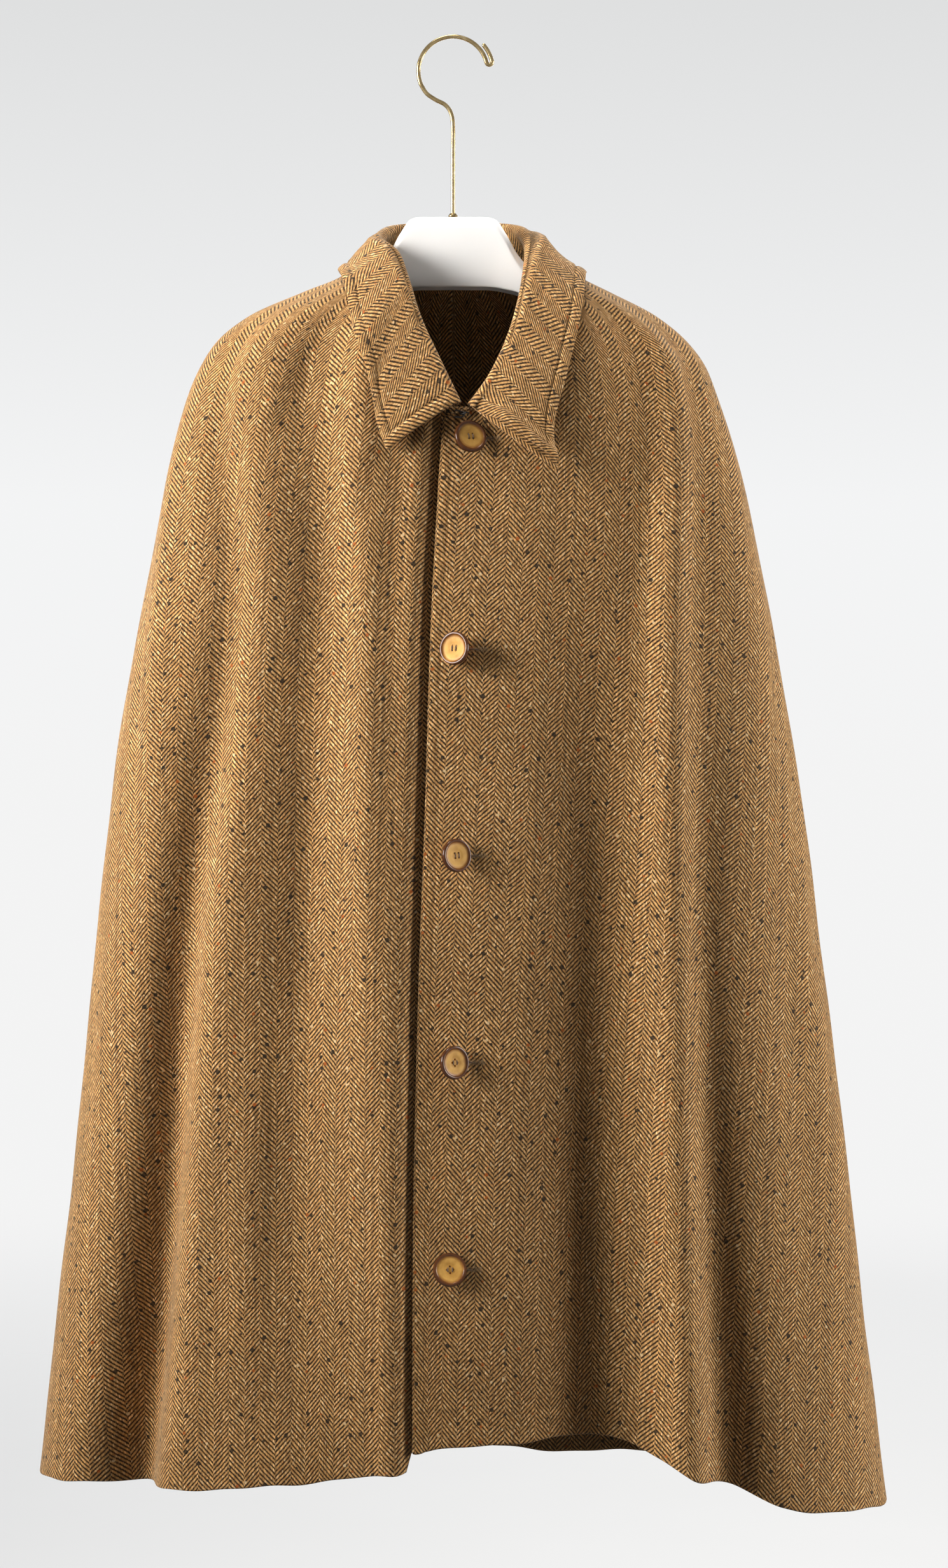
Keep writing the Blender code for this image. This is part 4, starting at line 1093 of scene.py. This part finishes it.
def drilled(verts, faces, uv):
    """Button blank with its four thread holes cut."""
    mesh = bpy.data.meshes.new("blank")
    mesh.from_pydata(verts.tolist(), [], faces)
    layer = mesh.uv_layers.new(name="turned")
    corner = np.empty(len(mesh.loops), np.int32)
    mesh.loops.foreach_get("vertex_index", corner)
    layer.data.foreach_set("uv", uv.astype(np.float32)[corner].ravel())
    work = bmesh.new()
    work.from_mesh(mesh)
    bmesh.ops.recalc_face_normals(work, faces=work.faces)
    work.to_mesh(mesh)
    work.free()
    blank = bpy.data.objects.new("blank", mesh)
    bpy.context.scene.collection.objects.link(blank)
    drill = bmesh.new()
    for sx in (-0.5, 0.5):
        for sy in (-0.5, 0.5):
            bmesh.ops.create_cone(
                drill, cap_ends=True, segments=20, radius1=BUTTON_HOLE_R * 0.86, radius2=BUTTON_HOLE_R,
                depth=0.012, matrix=Matrix.Translation(
                    (sx * BUTTON_HOLE_PITCH, sy * BUTTON_HOLE_PITCH, BUTTON_T / 2)))
    tool_mesh = bpy.data.meshes.new("drill")
    drill.to_mesh(tool_mesh)
    drill.free()
    tool = bpy.data.objects.new("drill", tool_mesh)
    bpy.context.scene.collection.objects.link(tool)
    cut = blank.modifiers.new("holes", "BOOLEAN")
    cut.operation = "DIFFERENCE"
    cut.solver = "EXACT"
    cut.object = tool
    bpy.context.view_layer.update()
    made = bpy.data.meshes.new_from_object(blank.evaluated_get(bpy.context.evaluated_depsgraph_get()))
    bpy.data.objects.remove(blank, do_unlink=True)
    bpy.data.objects.remove(tool, do_unlink=True)
    return made


BLANK = drilled(*turned(button_profile(), 64))
button_pieces = []
for number, (bx, bz, turn, tip) in enumerate(BUTTONS, 1):
    p0 = place_at(bx, bz)
    point = Vector(cape(np.array([p0]), np.array([bz]))[0])
    out = Vector(cape_normal(np.array([p0]), np.array([bz]))[0])
    facing = Matrix.Rotation(math.radians(turn), 3, "Z") @ Matrix.Rotation(math.radians(-tip), 3, "X") @ out
    stand = BUTTON_R * math.sin(facing.angle(out)) + 0.0010
    side_way = Vector((0, 0, 1)).cross(facing).normalized()
    rise = facing.cross(side_way).normalized()
    at = Matrix((side_way, rise, facing)).transposed().to_4x4()
    at.translation = point + out * stand
    mesh = BLANK.copy()
    mesh.name = "button_%d_horn" % number
    spin = Matrix.Rotation(math.radians((4, -3, 6, 42, 47)[number - 1]), 4, "Z")
    mesh.transform(at @ spin)
    mesh.materials.clear()
    mesh.materials.append(HORN)
    mesh.shade_smooth()
    mesh.set_sharp_from_angle(angle=math.radians(48))
    ob = bpy.data.objects.new("button_%d_horn" % number, mesh)
    bpy.context.scene.collection.objects.link(ob)
    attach(ob, "root")
    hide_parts("button_%d" % number)
    # sewing thread: two bars of three strands over the face, and the wrapped shank
    parts = []
    top = BUTTON_T - BUTTON_DISH * 1.2
    for sx in (-0.5, 0.5):
        for strand in (-1, 0, 1):
            x0 = sx * BUTTON_HOLE_PITCH + strand * 0.00038
            lift = 0.00050 - 0.00010 * abs(strand)
            path = [(x0, 0.5 * BUTTON_HOLE_PITCH, -0.0008), (x0, 0.5 * BUTTON_HOLE_PITCH, top - 0.0004),
                    (x0, 0.40 * BUTTON_HOLE_PITCH, top + lift * 0.8), (x0, 0.0, top + lift * 1.15),
                    (x0, -0.40 * BUTTON_HOLE_PITCH, top + lift * 0.8),
                    (x0, -0.5 * BUTTON_HOLE_PITCH, top - 0.0004), (x0, -0.5 * BUTTON_HOLE_PITCH, -0.0008)]
            parts.append(tube(smooth_path(path, 0.00045), 0.00024, 6))
    low = -stand
    shank = [(0.0, low - 0.0004)]
    for s in range(17):
        h = low - 0.0004 + (stand + 0.0003) * s / 16
        shank.append((0.0017 + 0.00022 * (s % 2) + 0.0007 * (1 - s / 16) ** 3, h))
    shank.append((0.0, -0.0001))
    sv, sf, _ = turned(shank, 14)
    parts.append((sv, [tuple(f) for f in sf]))
    tv, tf = joined(parts)
    tv = np.array([tuple(at @ Vector(v)) for v in tv])
    sewn = new_object("button_%d_thread" % number, tv, tf, THREAD)
    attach(sewn, "root")
    button_pieces.append(sewn)


# ---------------------------------------------------------------- stitching
def on_cape(x, z):
    """Point of the left front's face at x, z and its outward normal."""
    place, level = np.array([place_at(x, z)]), np.array([z])
    return cape(place, level)[0], cape_normal(place, level)[0]


def laid(points, off):
    """Path lying on the left front through x, z points, off by a little each."""
    found = [on_cape(x, z) for x, z in points]
    return np.array([at + out * o for (at, out), o in zip(found, off)])


slits, whips = [], []
for number, (bx, bz, _, _) in enumerate(BUTTONS, 1):
    along = np.linspace(0.0098, 0.0225, 9)
    sag = 0.0004 * np.sin(np.linspace(0.0, math.pi, 9) + 0.4 * number)
    slits.append(tube(laid([(bx + a, bz + d) for a, d in zip(along, sag)], np.full(9, -0.00025)),
                      0.00030 + 0.00050 * np.sin(np.linspace(0.12, math.pi - 0.05, 9)), 8))
    for i, a in enumerate(np.linspace(0.0096, 0.0285, 19)):
        open_by = 0.00065 if a < 0.0220 else 0.00005
        reach = 0.0021 + 0.0003 * math.sin(2.3 * i + number)
        for way in (-1, 1):
            tilt = 0.00025 * math.sin(1.7 * i + way)
            whips.append(tube(laid([(bx + a, bz + way * open_by), (bx + a + tilt, bz + way * 0.5 * (open_by + reach)),
                                    (bx + a + tilt, bz + way * reach)], (0.00002, 0.00022, -0.00012)), 0.00021, 5))
for i, level in enumerate(np.arange(-0.372, -1.258, -0.0043)):
    levels = np.array([level, level - 0.0008, level - 0.0024, level - 0.0032])
    place = lap_place(levels) + (STITCH_IN + 0.0002 * math.sin(1.9 * i)) / quarter(levels, 1)
    path = cape(place, levels) + cape_normal(place, levels) * np.array([-0.00045, -0.00012, -0.00012, -0.00045])[:, None]
    whips.append(tube(path, 0.00022, 5))
for name, parts, mat in (("buttonhole_slits", slits, THREAD), ("buttonhole_and_edge_stitches", whips, TOPSTITCH)):
    sewn = new_object(name, *joined(parts), mat)
    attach(sewn, "root")


# ---------------------------------------------------------------- hook, ferrule, hanger
hook_mid = -HOOK_R + HOOK_WIRE_R
path = []
for deg in np.linspace(40.0, 14.0, 5):
    a = math.radians(deg)
    path.append(((HOOK_R + HOOK_RETURN) * math.cos(a), 0, hook_mid + (HOOK_R + HOOK_RETURN) * math.sin(a)))
bend = math.radians(14.0)
centre = ((HOOK_R + HOOK_RETURN / 2) * math.cos(bend), hook_mid + (HOOK_R + HOOK_RETURN / 2) * math.sin(bend))
for deg in (-45.0, -90.0, -135.0):
    a = bend + math.radians(deg)
    path.append((centre[0] + HOOK_RETURN / 2 * math.cos(a), 0, centre[1] + HOOK_RETURN / 2 * math.sin(a)))
for deg in np.linspace(14.0, 205.0, 26):
    a = math.radians(deg)
    path.append((HOOK_R * math.cos(a), 0, hook_mid + HOOK_R * math.sin(a)))
path += [(x, 0.0, z) for x, z in HOOK_TAIL]
hook = new_object("hanger_hook_wire", *tube(smooth_path(path, 0.0011), HOOK_WIRE_R, 20), BRASS)
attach(hook, "root")
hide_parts("hanger_hook")

top_z = HANGER[0][1]
profile = [(HOOK_WIRE_R + 0.0002, 0.0), (0.0040, 0.0), (0.0043, 0.0002), (0.0043, 0.0014),
           (0.0040, 0.0018), (0.0036, 0.0019), (0.0034, 0.0024), (0.0031, 0.0029), (HOOK_WIRE_R + 0.0002, 0.0030)]
fv, ff, _ = turned(profile, 32)
ferrule = new_object("hanger_ferrule_cap", fv + np.array([0, 0, top_z + SEAM]), [tuple(f) for f in ff], BRASS)
ferrule.data.set_sharp_from_angle(angle=math.radians(40))
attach(ferrule, "root")
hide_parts("hanger_ferrule")


def hanger_loop(x, top, height, depth):
    """Upturned channel with rounded lips: outer face, lip, inner face, lip."""
    half = depth / 2
    cap = min(half, height * 0.45)
    low = top - height
    lip = HANGER_WALL / 2
    pts = []
    for k in np.linspace(0.0, 1.0, 7)[:-1]:
        pts.append((-half, low + lip + (top - cap - low - lip) * k))
    for deg in np.linspace(180, 0, 25):
        a = math.radians(deg)
        pts.append((half * math.cos(a), top - cap + cap * math.sin(a)))
    for k in np.linspace(1.0, 0.0, 7)[1:]:
        pts.append((half, low + lip + (top - cap - low - lip) * k))
    for deg in (-36, -72, -108, -144):
        a = math.radians(deg)
        pts.append((half - lip + lip * math.cos(a), low + lip + lip * math.sin(a)))
    w, d = half - HANGER_WALL, top - HANGER_WALL - cap
    for k in np.linspace(0.0, 1.0, 7)[:-1]:
        pts.append((w, low + lip + (d - low - lip) * k))
    for deg in np.linspace(0, 180, 25):
        a = math.radians(deg)
        pts.append((w * math.cos(a), d + cap * math.sin(a)))
    for k in np.linspace(1.0, 0.0, 7)[1:]:
        pts.append((-w, low + lip + (d - low - lip) * k))
    for deg in (-36, -72, -108, -144):
        a = math.radians(deg)
        pts.append((-half + lip + lip * math.cos(a), low + lip + lip * math.sin(a)))
    return [(x, y, z) for y, z in pts]


xs = np.concatenate([np.linspace(0.0, 0.030, 7), np.linspace(0.030, 0.075, 19)[1:],
                     np.linspace(0.075, 0.185, 23)[1:], np.linspace(0.185, 0.2, 9)[1:]])
xs = np.concatenate([-xs[:0:-1], xs])
reads = [column(HANGER, 0, k) for k in (1, 2, 3)]
loops = [hanger_loop(float(x), *(float(read(abs(x))) for read in reads)) for x in xs]
side = len(loops[0])
verts = np.array([p for loop in loops for p in loop])
faces = []
for s in range(len(loops) - 1):
    for k in range(side):
        n = (k + 1) % side
        faces.append((s * side + k, s * side + n, (s + 1) * side + n, (s + 1) * side + k))
half_side = side // 2
for s in (0, len(loops) - 1):
    for k in range(half_side - 4):
        o1, o2 = s * side + k, s * side + k + 1
        i1, i2 = s * side + side - 5 - k, s * side + side - 6 - k
        faces.append((o1, o2, i2, i1))
hanger = new_object("hanger_body_moulded", verts, faces, WHITE)
work = bmesh.new()
work.from_mesh(hanger.data)
bmesh.ops.holes_fill(work, edges=[e for e in work.edges if e.is_boundary], sides=12)
bmesh.ops.recalc_face_normals(work, faces=work.faces)
work.to_mesh(hanger.data)
work.free()
hanger.data.shade_smooth()
hanger.data.set_sharp_from_angle(angle=math.radians(50))
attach(hanger, "root")
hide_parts("hanger_body")


# ---------------------------------------------------------------- neck hook and eye
NECK_WIRE_R = 0.0007
NECK_AT = (0.0100, -0.3580)


def on_front(x, z, out):
    return cape(np.array([place_at(x, z)]), np.array([z]))[0] + np.array([0.0, -1.0, 0.0]) * out


hook_points = [on_front(NECK_AT[0] + dx, NECK_AT[1] + dz, out) for dx, dz, out in (
    (0.0046, 0.0022, 0.0022), (0.0016, 0.0026, 0.0024), (-0.0018, 0.0022, 0.0028),
    (-0.0030, 0.0010, 0.0042), (-0.0014, 0.0006, 0.0056), (0.0014, 0.0012, 0.0056))]
eye_points = [on_front(NECK_AT[0] + dx, NECK_AT[1] + dz, out) for dx, dz, out in (
    (-0.0075, 0.0042, 0.0042), (-0.0040, 0.0040, 0.0042), (-0.0006, 0.0028, 0.0042),
    (0.0004, 0.0002, 0.0042), (-0.0008, -0.0016, 0.0042), (-0.0044, -0.0020, 0.0042),
    (-0.0075, -0.0016, 0.0042))]
for name, points in (("neck_hook", hook_points), ("neck_eye", eye_points)):
    ob = new_object(name + "_wire", *tube(smooth_path(points, 0.00035), NECK_WIRE_R, 14), BLACK)
    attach(ob, "root")
    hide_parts(name)


for ob, node, flat, area in (
        (front_right, "front_right", (0.54, 1.24), 0.47),
        (front_left, "front_left", (0.59, 1.24), 0.465),
        (back_right, "back_right", (0.48, 1.25), 0.40),
        (back_left, "back_left", (0.48, 1.25), 0.415),
        (upper_collar, "upper_collar", (0.75, 0.14), 0.070),
        (under_collar, "under_collar", (0.75, 0.14), 0.065)):
    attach(ob, "root")
    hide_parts(node)


# ---------------------------------------------------------------- stage, light, camera
def floor():
    """Pale floor that fades out into the backdrop far from the object."""
    rings, sides = 24, 96
    verts, faces = [(0.0, 0.0, 0.0)], []
    for r in range(1, rings + 1):
        for s in range(sides):
            a = 2 * math.pi * s / sides
            verts.append((9.0 * (r / rings) * math.cos(a), 9.0 * (r / rings) * math.sin(a), 0.0))
    for s in range(sides):
        faces.append((0, 1 + s, 1 + (s + 1) % sides))
    for r in range(rings - 1):
        for s in range(sides):
            n = (s + 1) % sides
            a, b = 1 + r * sides, 1 + (r + 1) * sides
            faces.append((a + s, b + s, b + n, a + n))
    net = Net("pale_floor")
    spot = net.node("ShaderNodeTexCoord").outputs["Object"]
    length = net.node("ShaderNodeVectorMath", operation="LENGTH")
    net.put(length.inputs[0], spot)
    grain = net.noise(spot, 3.0, 3.0)
    net.set(colour=net.ramp(grain, ((0.3, (0.195, 0.195, 0.19)), (0.7, (0.205, 0.205, 0.20)))), roughness=0.8)
    net.shader.inputs["Emission Color"].default_value = (0.97, 0.98, 1.0, 1.0)
    net.shader.inputs["Emission Strength"].default_value = 0.54
    fade = net.node("ShaderNodeMapRange", interpolation_type="SMOOTHSTEP")
    net.put(fade.inputs["Value"], length.outputs["Value"])
    fade.inputs["From Min"].default_value = 0.7
    fade.inputs["From Max"].default_value = 4.5
    clear = net.node("ShaderNodeBsdfTransparent")
    both = net.node("ShaderNodeMixShader")
    net.put(both.inputs[0], fade.outputs[0])
    net.put(both.inputs[1], net.shader.outputs[0])
    net.put(both.inputs[2], clear.outputs[0])
    end = net.tree.nodes["Material Output"]
    net.put(end.inputs["Surface"], both.outputs[0])
    ob = new_object("floor", np.array(verts), faces, net.mat)
    ob.location = (0.0, 0.0, -1.60)
    ob.visible_diffuse = False
    return ob


floor()

world = bpy.data.worlds.new("studio")
bpy.context.scene.world = world
world.use_nodes = True
tree = world.node_tree
tree.nodes.clear()
out_node = tree.nodes.new("ShaderNodeOutputWorld")
# the backdrop the camera sees is painted darker upwards, a painted falloff of the studio light; diffuse rays see a
# plain dim ambient instead
coords = tree.nodes.new("ShaderNodeTexCoord")
parts_of = tree.nodes.new("ShaderNodeSeparateXYZ")
tree.links.new(coords.outputs["Generated"], parts_of.inputs[0])
height = tree.nodes.new("ShaderNodeValToRGB")
bar = height.color_ramp
bar.elements[0].position, bar.elements[0].color = 0.0, (0.90, 0.90, 0.90, 1)
bar.elements[1].position, bar.elements[1].color = 0.30, (0.645, 0.65, 0.65, 1)
middle_stop = bar.elements.new(0.08)
middle_stop.color = (0.90, 0.905, 0.91, 1)
tree.links.new(parts_of.outputs[2], height.inputs[0])
seen = tree.nodes.new("ShaderNodeBackground")
tree.links.new(height.outputs[0], seen.inputs[0])
lit = tree.nodes.new("ShaderNodeBackground")
lit.inputs[0].default_value = (1.0, 0.98, 0.95, 1)
lit.inputs[1].default_value = 0.11
which = tree.nodes.new("ShaderNodeLightPath")
blend = tree.nodes.new("ShaderNodeMixShader")
tree.links.new(which.outputs["Is Diffuse Ray"], blend.inputs[0])
tree.links.new(seen.outputs[0], blend.inputs[1])
tree.links.new(lit.outputs[0], blend.inputs[2])
tree.links.new(blend.outputs[0], out_node.inputs[0])


def area_light(name, at, to, wide, tall, watts, colour, spread=180.0):
    data = bpy.data.lights.new(name, "AREA")
    data.shape = "RECTANGLE"
    data.size, data.size_y = wide, tall
    data.energy = watts
    data.color = colour
    data.spread = math.radians(spread)
    ob = bpy.data.objects.new(name, data)
    bpy.context.scene.collection.objects.link(ob)
    ob.location = at
    ob.rotation_euler = (Vector(to) - Vector(at)).to_track_quat("-Z", "Y").to_euler()
    return ob


area_light("key", (-2.75, -1.15, 0.24), (0.12, -0.05, -0.46), 1.5, 1.5, 29.0, (1.0, 0.97, 0.93), 60.0)
fill = area_light("fill", (2.60, -0.24, -0.36), (0.0, 0.0, -0.62), 0.9, 1.4, 82.0, (1.0, 0.98, 0.95))
area_light("over", (-0.30, -0.10, 1.70), (0.0, -0.04, -0.30), 1.0, 0.8, 8.0, (1.0, 0.98, 0.95), 80.0)
rear = area_light("rear", (0.40, 2.70, 0.10), (0.0, 0.0, -0.70), 1.4, 1.6, 34.0, (1.0, 0.98, 0.95))
rear.visible_camera = False
# the low fill rakes the front, so the buttons throw no long shadows from it
passed = bpy.data.collections.new("passed_by_fill")
for ob in list(bpy.data.objects):
    if ob.name.startswith("button_"):
        passed.objects.link(ob)
for item in passed.collection_objects:
    item.light_linking.link_state = "EXCLUDE"
fill.light_linking.blocker_collection = passed

camera = bpy.data.cameras.new("camera")
camera.lens = 79.47
camera.sensor_width = 36.0
camera.clip_end = 100.0
camera_ob = bpy.data.objects.new("camera", camera)
camera_ob.location = (0.0194, -3.2, -0.689)
camera_ob.rotation_euler = (math.radians(90), 0.0, 0.0)
bpy.context.scene.collection.objects.link(camera_ob)
bpy.context.scene.camera = camera_ob
bpy.context.scene.view_settings.view_transform = "Standard"
bpy.context.scene.view_settings.look = "None"

bpy.context.view_layer.update()
